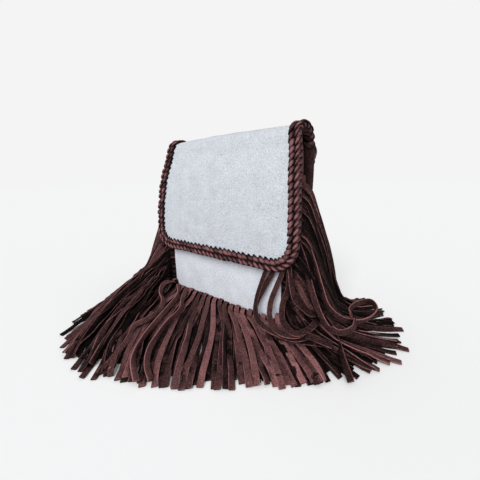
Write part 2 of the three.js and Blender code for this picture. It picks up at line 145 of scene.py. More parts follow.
# Strips laid along given routes, in the order they are laid: loops at the left corner, then strips
# on the right-hand pile, most of them slack ones that hang out below the flap. Each has its seam, the height
# of the roots laid before it, how far it stands on its edge, in degrees, and its points.
ROUTES = [
    ("front", 0, 55, [
        (-103, -30, 12), (-98, -42, 21), (-92, -56, 26), (-88, -68, 24), (-78, -79, 18), (-62, -86, 14),
        (-40, -109, 13), (-33, -131, 13), (-34, -147, 12), (-20, -163, 10), (-9, -185, 6), (-2, -206, 2),
    ]),
    ("front", 0, 66, [
        (-94, -29, 11), (-84, -40, 17), (-57, -62, 14), (-34, -100, 13), (-18, -130, 12), (-6, -152, 10),
        (6, -168, 8), (19, -180, 5), (40, -189, 2),
    ]),
    ("front", 0, 62, [
        (-76, -29, 10), (-66, -38, 16), (-46, -62, 12), (-20, -89, 11), (-8, -118, 11), (6, -143, 10),
        (18, -161, 8), (33, -173, 5), (50, -180, 2),
    ]),
    ("right", 60, -55, [
        (141, -6, 12), (152, -12, 14), (166, -17, 12), (177, -31, 10), (188, -50, 8), (201, -70, 5),
    ]),
    ("right", 64, 0, [
        (98, -25, 135), (93, -31, 108), (86, -34, 80), (79, -37, 57), (74, -39, 36), (81, -50, 24),
        (99, -66, 23), (117, -69, 22), (136, -69, 21), (156, -59, 20), (175, -48, 18),
    ]),
    ("right", 66, 0, [
        (98, -24, 127), (98, -30, 104), (96, -33, 82), (84, -36, 56), (74, -39, 32), (81, -50, 24),
        (102, -68, 25), (123, -72, 25), (143, -69, 24), (155, -53, 24),
    ]),
    ("right", 68, 0, [
        (99, -24, 120), (107, -31, 104), (109, -34, 85), (103, -37, 64), (96, -39, 42), (101, -50, 29),
        (116, -66, 27), (131, -72, 27), (144, -68, 28), (150, -48, 28), (151, -27, 28),
    ]),
    ("right", 70, 0, [
        (100, -25, 112), (113, -31, 100), (117, -34, 83), (118, -37, 64), (114, -42, 46), (118, -51, 35),
        (130, -63, 31), (143, -68, 30), (150, -57, 30), (153, -40, 32), (152, -24, 34),
    ]),
    ("right", 72, 0, [
        (100, -25, 104), (112, -31, 98), (118, -34, 83), (123, -37, 64), (127, -35, 49), (137, -32, 39),
        (147, -33, 37), (154, -22, 38), (151, -6, 40),
    ]),
    ("right", 300, -50, [(117, -47, 22), (134, -58, 28), (150, -60, 27), (178, -56, 24)]),
    ("right", 300, 0, [
        (108, -20, 155), (116, -20, 126), (130, -22, 95), (143, -28, 64), (155, -32, 42), (168, -40, 33),
        (180, -43, 31), (189, -29, 32), (188, -13, 34),
    ]),
    ("right", 300, 0, [
        (108, -18, 163), (119, -10, 130), (137, -14, 95), (149, -18, 68), (160, -23, 49), (173, -23, 40),
        (188, -13, 35), (198, 6, 34), (200, 30, 36), (191, 41, 38), (180, 32, 36), (175, 14, 34),
        (180, 0, 30),
    ]),
]

# The lacing, stitch by stitch: lobes given as (along, past the edge, off the leather's middle), and the bed
# of lace under them as (past the edge, off the leather's middle).
FACE_LOBE = [(-2.6, -10.8, 0.8), (-0.4, -8.6, 2.6), (2.8, -6.4, 4.0), (5.8, -4.2, 3.4), (8.4, -2.6, 1.4)]
EDGE_LOBE = [
    (-1.0, -2.8, 1.8), (1.0, -1.2, 3.6), (4.2, 1.4, 4.6), (7.0, 3.4, 3.6), (8.8, 4.4, 1.2), (9.6, 4.0, -1.8)
]
BACK_LOBE = [(11.0, 4.0, -1.2), (9.8, 2.0, -3.3), (7.0, -2.4, -3.7), (4.2, -6.0, -3.2), (2.8, -8.6, -0.6)]
LACE_BED = [
    (-8.6, 1.2), (-7.6, 2.3), (2.0, 2.9), (4.2, 1.4), (4.2, -1.6), (2.0, -2.9), (-7.6, -2.3), (-8.6, -1.2),
    (-7.6, -0.6), (0.0, -0.6), (0.0, 0.6), (-8.6, 0.6),
]


def length_property(name, description, millimetres):
    metres = millimetres * MM
    return bpy.props.FloatProperty(name=name, description=description, default=metres, unit="LENGTH")


def colour_property(name, description, default):
    return bpy.props.FloatVectorProperty(
        name=name, description=description, default=default, subtype="COLOR"
    )


class FringeBagSettings(bpy.types.PropertyGroup):
    """Sizes and colours of the bag that a user would change."""

    lace_pitch: length_property("Lace pitch", "Distance from stitch to stitch", 8.3)
    lace_width: length_property("Lace width", "Width of a lobe of lacing", 5.8)
    lace_thick: length_property("Lace thickness", "Thickness of a lobe of lacing", 3.0)
    strip_width: length_property("Strip width", "Width of a fringe strip", 6.6)
    strip_thick: length_property("Strip thickness", "Thickness of a fringe strip", 2.0)
    strip_pitch: length_property("Strip pitch", "Distance from hole to hole down the sides", 8.4)
    hump_pitch: length_property("Hump pitch", "Distance from hump to hump at the front", 10.8)
    seed: bpy.props.IntProperty(name="Seed", description="Lay of the fringe", default=7)
    pale: colour_property("Pale suede", "Colour of the walls", (0.504, 0.527, 0.569))
    brown: colour_property("Brown suede", "Colour of the fringe", (0.060, 0.026, 0.026))
    lace: colour_property("Brown lace", "Colour of the lacing", (0.0465, 0.0202, 0.0212))
    floor: colour_property("Floor", "Colour of the floor", (0.928, 0.928, 0.928))


def settings():
    return bpy.context.scene.fringe_bag


def in_mm(metres):
    return metres / MM


# Curves and meshes


def spline(points, per_span):
    """Points along a centripetal Catmull-Rom curve through the given ones."""
    points = np.asarray(points, float)
    padded = np.vstack([2 * points[0] - points[1], points, 2 * points[-1] - points[-2]])
    spans = []
    for four in zip(padded, padded[1:], padded[2:], padded[3:]):
        gaps = [np.linalg.norm(b - a) ** 0.5 for a, b in zip(four, four[1:])]
        knots = np.cumsum([0.0, *gaps])
        t = np.linspace(knots[1], knots[2], per_span, endpoint=False)[:, None]

        def mix(first, second, low, high):
            return ((knots[high] - t) * first + (t - knots[low]) * second) / (knots[high] - knots[low])

        lines = [mix(four[i], four[i + 1], i, i + 1) for i in range(3)]
        bends = [mix(lines[i], lines[i + 1], i, i + 2) for i in range(2)]
        spans.append(mix(bends[0], bends[1], 1, 2))
    return np.vstack([*spans, points[-1:]])


def unit(vectors):
    return vectors / np.maximum(np.linalg.norm(vectors, axis=-1, keepdims=True), TINY)


def running_length(points):
    """The length along a line of points, at each of them."""
    return np.concatenate([[0.0], np.cumsum(np.linalg.norm(np.diff(points, axis=0), axis=1))])


def make_piece(name, points, faces, material, nodes, attributes, angle=None):
    """A finished piece from points in millimetres, riding on the bag and standing for its solids."""
    mesh = bpy.data.meshes.new(name)
    mesh.from_pydata((np.asarray(points) * MM).tolist(), [], faces)
    for key, values in attributes.items():
        layer = mesh.attributes.new(name=key, type="FLOAT", domain="POINT")
        layer.data.foreach_set("value", np.asarray(values, dtype=np.float32))
    mesh.validate()
    mesh.polygons.foreach_set("use_smooth", [True] * len(mesh.polygons))
    mesh.materials.append(material)
    piece = bpy.data.objects.new(name, mesh)
    bpy.context.collection.objects.link(piece)
    bpy.ops.object.select_all(action="DESELECT")
    piece.select_set(True)
    bpy.context.view_layer.objects.active = piece
    if angle:
        bpy.ops.object.shade_smooth_by_angle(angle=math.radians(angle))
    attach(piece, "root")
    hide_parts(*nodes)
    return piece


def tube_faces(rings, corners, first=0):
    """Quads round a row of rings, and a face to close each end."""
    faces = []
    for ring in range(rings - 1):
        here = first + ring * corners
        for k in range(corners):
            m = (k + 1) % corners
            faces.append((here + k, here + m, here + corners + m, here + corners + k))
    last = first + (rings - 1) * corners
    faces.append(tuple(range(first + corners - 1, first - 1, -1)))
    faces.append(tuple(range(last, last + corners)))
    return faces


# Steps to a row of a bent side view, round a corner and down a side.
ROW_STEPS, CORNER_STEPS, SIDE_STEPS = 60, 24, 400


class BentLeather:
    """A flat piece of leather bent along a side view: x across, s along, h off its middle surface."""

    def __init__(self, rows, start_corner, end_corner, belly):
        fine = spline(rows, ROW_STEPS)
        self.square, self.y, self.z = fine.T
        self.at = running_length(fine)
        self.length = self.at[-1]
        along = unit(np.gradient(fine[:, 1:], self.at, axis=0))
        self.along_y, self.along_z = along.T
        self.corners = (start_corner, end_corner)
        self.belly = belly

    def read(self, values, s):
        return np.interp(s, self.at, values)

    def half(self, s):
        start, end = self.corners
        cut = np.zeros_like(s)
        for radius, away in ((start, s), (end, self.length - s)):
            inside = np.clip(radius - away, 0, radius)
            cut = cut + radius - np.sqrt(np.maximum(radius**2 - inside**2, 0))
        return self.read(self.square, s) - cut

    def along(self, s):
        way = np.stack([np.zeros_like(s), self.read(self.along_y, s), self.read(self.along_z, s)], -1)
        return unit(way)

    def out(self, s):
        way = self.along(s)
        return np.stack([np.zeros_like(s), way[..., 2], -way[..., 1]], -1)

    def point(self, x, s, h):
        x, s, h = np.broadcast_arrays(np.asarray(x, float), np.asarray(s, float), np.asarray(h, float))
        across = x / (BODY_HALF - LACE_MARGIN)
        swell = np.sin(np.pi * np.clip(s / self.length, 0, 1)) ** 2
        bow = self.belly * swell * np.maximum(1 - across**2, 0)
        middle = np.stack([x, self.read(self.y, s), self.read(self.z, s)], -1)
        return middle + self.out(s) * (h + bow)[..., None]

    def corner_run(self, end, side):
        """Flat points round one corner, from the leather's end to its side."""
        radius = self.corners[end]
        angles = np.radians(np.linspace(90, 0, CORNER_STEPS))
        rise = radius * np.sin(angles)
        s = radius - rise if end == 0 else self.length - radius + rise
        x = self.read(self.square, s) - radius + radius * np.cos(angles)
        return np.stack([side * x, s], -1)

    def side_run(self, side):
        start, end = self.corners
        s = np.linspace(self.length - end, start, SIDE_STEPS)
        return np.stack([side * self.read(self.square, s), s], -1)


class Edge:
    """The whole way round the edge of bent leather, measured by length."""

    SMOOTHING = 4

    def __init__(self, leather, flat):
        flat = np.vstack([flat, flat[:1]])
        keep = np.concatenate([[True], np.linalg.norm(np.diff(flat, axis=0), axis=1) > TINY])
        flat = flat[keep]
        length = running_length(flat)
        self.length = length[-1]
        self.leather = leather
        self.at = np.linspace(0, self.length, int(self.length) + 1)
        self.flat = np.stack([np.interp(self.at, length, flat[:, i]) for i in (0, 1)], -1)
        way = unit(np.gradient(self.flat, self.at, axis=0))
        for _ in range(self.SMOOTHING):
            mixed = way.copy()
            mixed[1:-1] = (way[:-2] + 2 * way[1:-1] + way[2:]) / 4
            way = unit(mixed)
        self.way = way

    def place(self, t, past, off):
        """Points at length t, so far past the edge and off the leather's middle; and the way along there."""
        t = np.mod(t, self.length)
        x, s = (np.interp(t, self.at, self.flat[:, i]) for i in (0, 1))
        tx, ts = (np.interp(t, self.at, self.way[:, i]) for i in (0, 1))
        along, out = self.leather.along(s), self.leather.out(s)
        sideways = np.zeros_like(along)
        sideways[..., 0] = 1
        forward = unit(sideways * tx[..., None] + along * ts[..., None])
        away = unit(sideways * -ts[..., None] + along * tx[..., None])
        edge = self.leather.point(x, s, 0)
        return edge + away * past[..., None] + out * off[..., None], forward


# The front panel's top corners are all but square.
SQUARE_CORNER = 0.01
BACK_LEATHER = BentLeather(BACK_AND_FLAP, FOOT_CORNER, FLAP_CORNER, FLAP_BELLY)
PANEL_LEATHER = BentLeather(FRONT_PANEL, SQUARE_CORNER, FOOT_CORNER, 0.0)
# Quads across and along each wall, and the height of its ripples with the seed of their random draws.
BACK_WALL = {"across": 60, "along": 150, "ripple": 0.16, "seed": 3}
PANEL_WALL = {"across": 60, "along": 70, "ripple": 0.08, "seed": 5}
# Ripples: how many waves, how many turns of each to a millimetre, and how near the sides they stop.
RIPPLES, RIPPLE_RATES, RIPPLE_STOP = 7, (0.006, 0.03), 6
# Rows of quads round a wall's corners, and rows that its pattern's widths are worked out at.
CORNER_ROWS, PATTERN_ROWS = 9, 2001


def wall(leather, across, along, ripple, seed):
    """The two faces of a bent leather wall, with slow ripples, joined round its rim."""
    s = np.linspace(0, leather.length, along + 1)
    corner = max(leather.corners)
    ease = np.sin(np.linspace(0, np.pi / 2, CORNER_ROWS)) ** 2 * corner
    s = np.unique(np.concatenate([s, ease, leather.length - ease]))
    share = np.linspace(-1, 1, across + 1)
    x = leather.half(s)[:, None] * share[None, :]
    rng = np.random.default_rng(seed)
    wave = np.zeros_like(x)
    for _ in range(RIPPLES):
        fx, fs = rng.uniform(*RIPPLE_RATES, 2)
        px, ps = rng.uniform(0, 2 * np.pi, 2)
        wave += np.sin(2 * np.pi * fx * x + px) * np.sin(2 * np.pi * fs * s[:, None] + ps)
    wave *= ripple * (1 - share[None, :] ** RIPPLE_STOP)
    rows, columns = x.shape
    outer = leather.point(x, s[:, None], LEATHER / 2 + wave).reshape(-1, 3)
    inner = leather.point(x, s[:, None], -LEATHER / 2 + wave).reshape(-1, 3)
    count = rows * columns
    faces = []
    for i in range(rows - 1):
        for k in range(columns - 1):
            a = i * columns + k
            quad = (a, a + 1, a + columns + 1, a + columns)
            faces.append(quad[::-1])
            faces.append(tuple(count + v for v in quad))
    rim = [i * columns for i in range(rows)]
    rim += [(rows - 1) * columns + k for k in range(1, columns)]
    rim += [i * columns + columns - 1 for i in range(rows - 2, -1, -1)]
    rim += range(columns - 2, 0, -1)
    for a, b in zip(rim, rim[1:] + rim[:1]):
        faces.append((a, count + a, count + b, b)[::-1])
    inside = np.repeat([0.0, 1.0], count)
    return np.vstack([outer, inner]), faces, {"inside": inside}


def dress_wall(node, leather, facts, suede):
    """A leather wall in its suede, bent from the flat pattern that it was cut to."""
    points, faces, values = wall(leather, **facts)
    piece = make_piece(node + "_suede", points, faces, suede, [node], values)
    widths = 2 * leather.half(np.linspace(0, leather.length, PATTERN_ROWS))


# Materials


def new_material(name):
    """A material with its node tree, its shader, and where on the object a point is."""
    material = bpy.data.materials.new(name)
    material.use_nodes = True
    tree = material.node_tree
    place = tree.nodes.new("ShaderNodeTexCoord").outputs["Object"]
    return material, tree, tree.nodes["Principled BSDF"], place


def add_node(tree, kind, **values):
    node = tree.nodes.new(kind)
    for key, value in values.items():
        if hasattr(node, key):
            setattr(node, key, value)
        else:
            node.inputs[key.replace("_", " ")].default_value = value
    return node


def noise_on(tree, coordinates, scale, detail, roughness=0.55):
    node = add_node(tree, "ShaderNodeTexNoise", Scale=scale, Detail=detail, Roughness=roughness)
    tree.links.new(coordinates, node.inputs["Vector"])
    return node.outputs["Fac"]


def ramp_on(tree, factor, stops):
    node = tree.nodes.new("ShaderNodeValToRGB")
    while len(node.color_ramp.elements) < len(stops):
        node.color_ramp.elements.new(0.5)
    for element, (place, colour) in zip(node.color_ramp.elements, stops):
        element.position = place
        element.color = (*colour, 1)
    tree.links.new(factor, node.inputs["Fac"])
    return node.outputs["Color"]


def math_on(tree, operation, a, b):
    node = tree.nodes.new("ShaderNodeMath")
    node.operation = operation
    for socket, value in zip(node.inputs, (a, b)):
        if isinstance(value, (int, float)):
            socket.default_value = value
        else:
            tree.links.new(value, socket)
    return node.outputs["Value"]


def weighted_on(tree, base, sources):
    """A base value plus each source by its weight."""
    total = base
    for source, weight in sources:
        total = math_on(tree, "ADD", math_on(tree, "MULTIPLY", source, weight), total)
    return total


def attribute_on(tree, name):
    return add_node(tree, "ShaderNodeAttribute", attribute_name=name).outputs["Fac"]


def mix_on(tree, factor, first, second):
    """The first colour where the factor is 0 and the second where it is 1."""
    node = add_node(tree, "ShaderNodeMix", data_type="RGBA")
    tree.links.new(factor, node.inputs[0])
    tree.links.new(first, node.inputs[6])
    node.inputs[7].default_value = (*second, 1)
    return node.outputs[2]


def bump_on(tree, shader, height, strength, distance):
    node = add_node(tree, "ShaderNodeBump", Strength=strength, Distance=distance)
    tree.links.new(height, node.inputs["Height"])
    tree.links.new(node.outputs["Normal"], shader.inputs["Normal"])


def shade(colour, factor):
    return tuple(channel * factor for channel in colour)


# Noise in the suedes: scale, detail and roughness.
PALE_NAP, PALE_CLOUD = (620, 4, 0.7), (60, 5, 0.6)
BROWN_NAP, BROWN_PATCH = (700, 4, 0.65), (70, 3)
# What lightens them, and by how much: noise, and attributes of the brown ones, which carry painted shade and
# painted highlight.
NAP_WEIGHT, CLOUD_WEIGHT = 0.82, 0.18
BROWN_BASE, BROWN_NAP_WEIGHT, PATCH_WEIGHT = -0.36, 1.2, 0.25
BROWN_WEIGHTS = {"tone": 0.45, "edge": 0.54, "painted_shade": -0.75}
# How bright a suede is next to its colour, from its darkest places to its lightest.
PALE_GAINS = [(0.3, 0.59), (0.5, 1.0), (0.7, 1.36)]
BROWN_GAINS = [(0.08, 0.03), (0.3, 0.35), (0.52, 1.05), (0.78, 2.4), (1.0, 5.0)]
# The same for the panel, of the pale colour, painted lighter than the flap as painted light against the
# flap's shade; and for the walls' insides and the gusset, of the brown. The brown insides are painted shade
# for the dark inside of the bag and are lightened to show in that shade;
# the gusset's colour is partly its own and partly lightened as painted light for the shade at the sides.
PANEL_PAINTED_LIGHT_GAIN, INNER_GAIN, GUSSET_GAIN = 1.36, 4.0, 2.6
GUSSET_ROUGHNESS, LACE_ROUGHNESS, FRINGE_ROUGHNESS = 0.95, 0.62, 0.88


def tints(colour, gains):
    return [(share, shade(colour, gain)) for share, gain in gains]


def pale_suede(name, gain):
    """Pale blue-grey suede: a fine felted nap with faint cloudy patches, and brown inside as painted shade
    for the dark inside of the bag.
    """
    material, tree, shader, place = new_material(name)
    colour = shade(tuple(settings().pale), gain)
    nap = noise_on(tree, place, *PALE_NAP)
    cloud = noise_on(tree, place, *PALE_CLOUD)
    mixed = weighted_on(tree, 0.0, [(nap, NAP_WEIGHT), (cloud, CLOUD_WEIGHT)])
    tint = ramp_on(tree, mixed, tints(colour, PALE_GAINS))
    # Inside faces are brown: painted shade for the inside of the bag, lightened to show within that shade.
    both = mix_on(tree, attribute_on(tree, "inside"), tint, shade(tuple(settings().brown), INNER_GAIN))
    tree.links.new(both, shader.inputs["Base Color"])
    shader.inputs["Roughness"].default_value = 0.95
    shader.inputs["Specular IOR Level"].default_value = 0.15
    shader.inputs["Sheen Weight"].default_value = 0.12
    shader.inputs["Sheen Roughness"].default_value = 0.6
    bump_on(tree, shader, nap, strength=0.35, distance=0.4 * MM)
    return material


def brown_suede(name, colour, roughness):
    """Dark brown suede, lighter or darker by its attributes, which carry painted shade and painted
    highlight.
    """
    material, tree, shader, place = new_material(name)
    nap = noise_on(tree, place, *BROWN_NAP)
    sources = [(nap, BROWN_NAP_WEIGHT), (noise_on(tree, place, *BROWN_PATCH), PATCH_WEIGHT)]
    sources += [(attribute_on(tree, key), weight) for key, weight in BROWN_WEIGHTS.items()]
    mixed = weighted_on(tree, BROWN_BASE, sources)
    tree.links.new(ramp_on(tree, mixed, tints(colour, BROWN_GAINS)), shader.inputs["Base Color"])
    shader.inputs["Roughness"].default_value = roughness
    shader.inputs["Specular IOR Level"].default_value = 0.08
    shader.inputs["Sheen Weight"].default_value = 0.03
    shader.inputs["Sheen Roughness"].default_value = 0.4
    shader.inputs["Sheen Tint"].default_value = (0.85, 0.55, 0.52, 1)
    bump_on(tree, shader, nap, strength=0.5, distance=0.5 * MM)
    return material


# Lacing


# The back's edge is plain below the knots: lobes keep in front of a depth or above a height.
LACED_DEPTH, LACED_HEIGHT = 10.0, 228.0
# Rows of lobes: path, width and thickness of the lace's own, and how narrow the ends are.
LOBE_ROWS = [(FACE_LOBE, 0.92, 1.2, 0.2), (EDGE_LOBE, 0.6, 1.1, 0.4), (BACK_LOBE, 0.8, 0.8, 0.6)]
# Steps to a span of a lobe, corners round a lace, and how round a lobe is.
LOBE_STEPS, LACE_CORNERS, LOBE_ROUND = 4, 10, 0.85
# How lobes vary: along the edge, past it, off the leather, in size and in tone.
LOBE_ALONG, LOBE_PAST, LOBE_OFF, LOBE_SIZE, LOBE_TONE = 0.5, 0.3, (0.85, 1.1), (0.86, 1.12), (0.2, 0.7)
# The part of a half wave that a lobe swells in, and how full it is.
SWELL_PART, SWELL_FROM, SWELL_FULL = 0.92, 0.04, 0.7
# Lace is painted lighter from a height off the leather, over another, sharply along its ridge, as wear and
# painted highlight; the rest gets painted shade.
WEAR_AND_HIGHLIGHT_FROM, WEAR_AND_HIGHLIGHT_OVER, RIDGE, LACE_PAINTED_SHADE = 2.0, 4.0, 1.8, 0.66
# Tone and wear of the bed: under the lobes, darkened as painted shade; out past the edge, and where the edge
# is plain, lighter by wear and painted highlight.
HIDDEN_BED, OUTER_BED, PLAIN_BED = (-0.9, 0.0), (0.2, 0.75), (-0.1, 0.55)
# How far past the edge counts as out, and the length from ring to ring of the bed.
OUTER_PAST, BED_STEP = 1.0, 4.0


def ring_angles(corners):
    return 2 * np.pi * np.arange(corners) / corners


def rounded(values):
    """Sines or cosines, of a circle that is a little squared."""
    return np.sign(values) * np.abs(values) ** LOBE_ROUND


def lobes(edge, path, count, width, thick, ends, rng):
    """One row of lace lobes along an edge: rounded tubes on a path, narrower at their ends."""
    fine = spline(path, LOBE_STEPS)
    rings, corners = len(fine), LACE_CORNERS
    start = edge.length * np.arange(count) / count
    spot, _ = edge.place(start, np.zeros(count), np.zeros(count))
    start = start[(spot[:, 1] < LACED_DEPTH) | (spot[:, 2] > LACED_HEIGHT)]
    count = len(start)
    start = start + rng.normal(0, LOBE_ALONG, count)
    t = start[:, None] + fine[None, :, 0]
    past = fine[None, :, 1] + rng.normal(0, LOBE_PAST, (count, 1))
    off = fine[None, :, 2] * rng.uniform(*LOBE_OFF, (count, 1))
    centre, forward = edge.place(t, past, off)
    way = unit(np.gradient(centre, axis=1))
    side = unit(forward - way * (forward * way).sum(-1, keepdims=True))
    up = np.cross(way, side)
    wave = np.sin(np.pi * (np.linspace(0, 1, rings) * SWELL_PART + SWELL_FROM))
    swell = (ends + (1 - ends) * wave**SWELL_FULL)[None, :] * rng.uniform(*LOBE_SIZE, (count, 1))
    angles = ring_angles(corners)
    wide = rounded(np.cos(angles))[:, None] * width / 2
    tall = rounded(np.sin(angles))[:, None] * thick / 2
    ring = centre[:, :, None] + swell[:, :, None, None] * (side[:, :, None] * wide + up[:, :, None] * tall)
    faces = []
    for stitch in range(count):
        faces += tube_faces(rings, corners, stitch * rings * corners)
    foot, _ = edge.place(t, past, np.zeros_like(t))
    lift, _ = edge.place(t, past, np.ones_like(t))
    height = np.abs(((ring - foot[:, :, None]) * (lift - foot)[:, :, None]).sum(-1)).reshape(-1)
    tone = np.repeat(rng.uniform(*LOBE_TONE, count), rings * corners)
    # Wear and painted highlight: lobes are lighter the higher they stand off the leather, and darker, as
    # painted shade, where low.
    wear_and_highlight = np.clip((height - WEAR_AND_HIGHLIGHT_FROM) / WEAR_AND_HIGHLIGHT_OVER, 0, 1) ** RIDGE
    return ring.reshape(-1, 3), faces, np.stack([tone, wear_and_highlight], -1)


def bed(edge):
    """The lace under the lobes: a thin channel over the leather's edge, darkened under them as painted
    shade.
    """
    section = np.array(LACE_BED)
    corners = len(section)
    rings = round(edge.length / BED_STEP)
    t = np.repeat(edge.length * np.arange(rings)[:, None] / rings, corners, axis=1)
    past, off = (np.broadcast_to(section[:, i], t.shape) for i in (0, 1))
    points, _ = edge.place(t, past, off)
    faces = []
    for i in range(rings):
        here, ahead = i * corners, (i + 1) % rings * corners
        for k in range(corners):
            m = (k + 1) % corners
            faces.append((here + k, ahead + k, ahead + m, here + m))
    points = points.reshape(-1, 3)
    plain = (points[:, 1] > LACED_DEPTH) & (points[:, 2] < LACED_HEIGHT)
    values = np.where((past > OUTER_PAST).reshape(-1, 1), OUTER_BED, HIDDEN_BED)
    return points, faces, np.where(plain[:, None], PLAIN_BED, values)


def lace_attributes(values):
    """What the brown suede needs of lace with a tone and a wear with painted highlight at each point, and
    painted shade where it lies low.
    """
    return {"tone": values[:, 0], "edge": values[:, 1], "painted_shade": LACE_PAINTED_SHADE * (1 - values[:, 1])}


def join(parts):
    """Several (points, faces, values) made one."""
    points, faces, values, first = [], [], [], 0
    for part_points, part_faces, part_values in parts:
        points.append(part_points)
        faces += [tuple(first + v for v in face) for face in part_faces]
        values.append(part_values)
        first += len(part_points)
    return np.vstack(points), faces, np.concatenate(values)


class FRINGE_BAG_OT_back_and_flap(bpy.types.Operator):
    """The back panel, folded over the top into the flap."""

    bl_idname = "fringe_bag.back_and_flap"
    bl_label = "Back and Flap"

    def execute(self, context):
        suede = pale_suede("pale_suede", gain=1.0)
        dress_wall("back_and_flap", BACK_LEATHER, BACK_WALL, suede)
        return {"FINISHED"}


class FRINGE_BAG_OT_front_panel(bpy.types.Operator):
    """The front panel under the flap."""

    bl_idname = "fringe_bag.front_panel"
    bl_label = "Front Panel"

    def execute(self, context):
        # The panel's suede is painted lighter than the flap's, painted light against the shade the flap
        # casts on it.
        suede = pale_suede("panel_suede_painted_light", PANEL_PAINTED_LIGHT_GAIN)
        dress_wall("front_panel", PANEL_LEATHER, PANEL_WALL, suede)
        return {"FINISHED"}


class FRINGE_BAG_OT_gusset(bpy.types.Operator):
    """The dark strip down the sides and under the bag, in its suede."""

    bl_idname = "fringe_bag.gusset"
    bl_label = "Gusset"

    def execute(self, context):
        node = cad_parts["gusset"]
        # The gusset's brown is lightened to show in the deep shade at the sides: partly its own colour,
        # partly painted light.
        dark = brown_suede("dark_suede", shade(tuple(settings().brown), GUSSET_GAIN), GUSSET_ROUGHNESS)
        node.data.materials.clear()
        node.data.materials.append(dark)
        return {"FINISHED"}


class FRINGE_BAG_OT_edge_lacing(bpy.types.Operator):
    """Two rows of lace lobes round the flap and the fold, their slanted backs, and the bed under them."""

    bl_idname = "fringe_bag.edge_lacing"
    bl_label = "Edge Lacing"

    def execute(self, context):
        sizes = settings()
        leather = BACK_LEATHER
        outline = [leather.corner_run(1, 1), leather.side_run(1), leather.corner_run(0, 1)[::-1]]
        outline += [leather.corner_run(0, -1), leather.side_run(-1)[::-1], leather.corner_run(1, -1)[::-1]]
        edge = Edge(leather, np.vstack(outline))
        count = round(edge.length / in_mm(sizes.lace_pitch))
        width, thick = in_mm(sizes.lace_width), in_mm(sizes.lace_thick)
        rng = np.random.default_rng(sizes.seed)
        parts = []
        for path, wide, tall, ends in LOBE_ROWS:
            parts.append(lobes(edge, path, count, width * wide, thick * tall, ends, rng))
        points, faces, values = join([*parts, bed(edge)])
        lace = brown_suede("laced_leather", tuple(sizes.lace), LACE_ROUGHNESS)
        attributes = lace_attributes(values)
        make_piece("edge_lacing_braid", points, faces, lace, ["edge_lacing"], attributes)
        return {"FINISHED"}


# Fringe

# Steps along a strip and in a span of its hump, and places across it that feel for what it lies on.
STEP, HEAD_STEPS = 2.4, 5
FEET = np.array([[-0.5], [-0.25], [0.0], [0.25], [0.5]])
# The space that the fringe is laid in, and the sizes of its cells.
FRINGE_LOW, FRINGE_HIGH = (-270, -260, 0), (280, 200, 210)
PILE_CELL, CROWD_CELL = 1.0, 2.0
# The pile takes strips below a height where they aren't steep, at so many places across.
PILE_LIMIT, PILE_STEEP, PILE_PLACES = 45.0, 0.7, 7
# The crowd is felt in so many ways, from a start off the surface, less and less up to a reach, to paint
# shade where strips are shut in.
CROWD_WAYS, CROWD_START, CROWD_REACH = 20, 0.8, 20
CROWD_AWAYS = (3.0, 4.5, 6.5, 9.0, 12.0, 16.0)


class Grid:
    """Cells of space from a low corner to a high one, each with a value."""

    def __init__(self, low, high, cell, kind):
        self.low = np.array(low, float)
        self.cell = cell
        size = np.ceil((np.array(high) - self.low) / cell).astype(int) + 1
        self.values = np.zeros(size, kind)

    def cells(self, spots):
        index = np.round((spots - self.low) / self.cell).astype(int)
        return tuple(np.clip(index, 0, np.array(self.values.shape) - 1).T)

    def at(self, spots):
        return self.values[self.cells(spots)]


class Pile(Grid):
    """How high the strips laid so far stand over the floor, so that the next ones lie on them."""

    def lay(self, spots, tops):
        np.maximum.at(self.values, self.cells(spots), tops)


class Crowd(Grid):
    """Which small cubes of space are taken, to tell how shut in a place among strips is, for the painted
    shade there.
    """

    def fill(self, points):
        self.values[self.cells(points)] = True

    def painted_shade(self, points, normals):
        """How shut in each point is in front of its normal, from 0 to 1: the painted shade that darkens the
        suede there.
        """
        shut, whole = np.zeros(len(points)), np.zeros(len(points))
        for way in all_ways(CROWD_WAYS):
            weight = np.maximum(normals @ way, 0)
            free = np.ones(len(points), bool)
            for away in CROWD_AWAYS:
                spots = points + normals * CROWD_START + way * away
                hit = free & (self.at(spots) | (spots[:, 2] < 0))
                shut += weight * hit * (1 - away / CROWD_REACH)
                free &= ~hit
            whole += weight
        return np.clip(shut / np.maximum(whole, TINY), 0, 1)


def all_ways(count):
    """Ways that point evenly all round."""
    turn = np.arange(count) * math.pi * (3 - 5**0.5)
    level = 1 - (np.arange(count) + 0.5) / (count / 2)
    flat = np.sqrt(1 - level**2)
    return np.stack([flat * np.cos(turn), flat * np.sin(turn), level], -1)


@dataclasses.dataclass
class Strip:
    """One strip of the fringe, before it is laid."""

    seam: str
    head: list  # points of the hump where it leaves its hole
    flat: tuple  # the way its width lies until it lies down
    order: float  # strips are laid from the lowest order up
    leave: float  # the way it leaves the hump, in degrees
    lead: float  # how far it keeps to that way
    tip: np.ndarray  # where it ends on the floor
    bend: float  # how far its end turns back from the way that it left
    fall: np.ndarray  # its height at shares of its way, of the height of its hump's end
    level: float  # the height below which it turns flat
    # Tone also carries painted shade: strips laid underneath, and those at the sides, are drawn darker.
    tone: float  # how light it is, next to the usual tone
    loft: float  # how loosely it lies
    roll: float  # how much it twists, in degrees
    sway: float  # how far it swings from side to side
    width: float  # how wide it is, of the usual width
    stand: float  # how far it stands on its edge where it lies, in degrees
    lean: float = 0.0  # how far it is turned over its neighbour while it falls, in degrees
    lift: float = 5.5  # how far the strips under it may lift it


SPREAD_COLUMNS = ("leave", "lead", "turn", "reach", "bend")


def spread_at(seam, share):
    table = SPREADS[seam]
    return [np.interp(share, table["share"], table[column]) for column in SPREAD_COLUMNS]


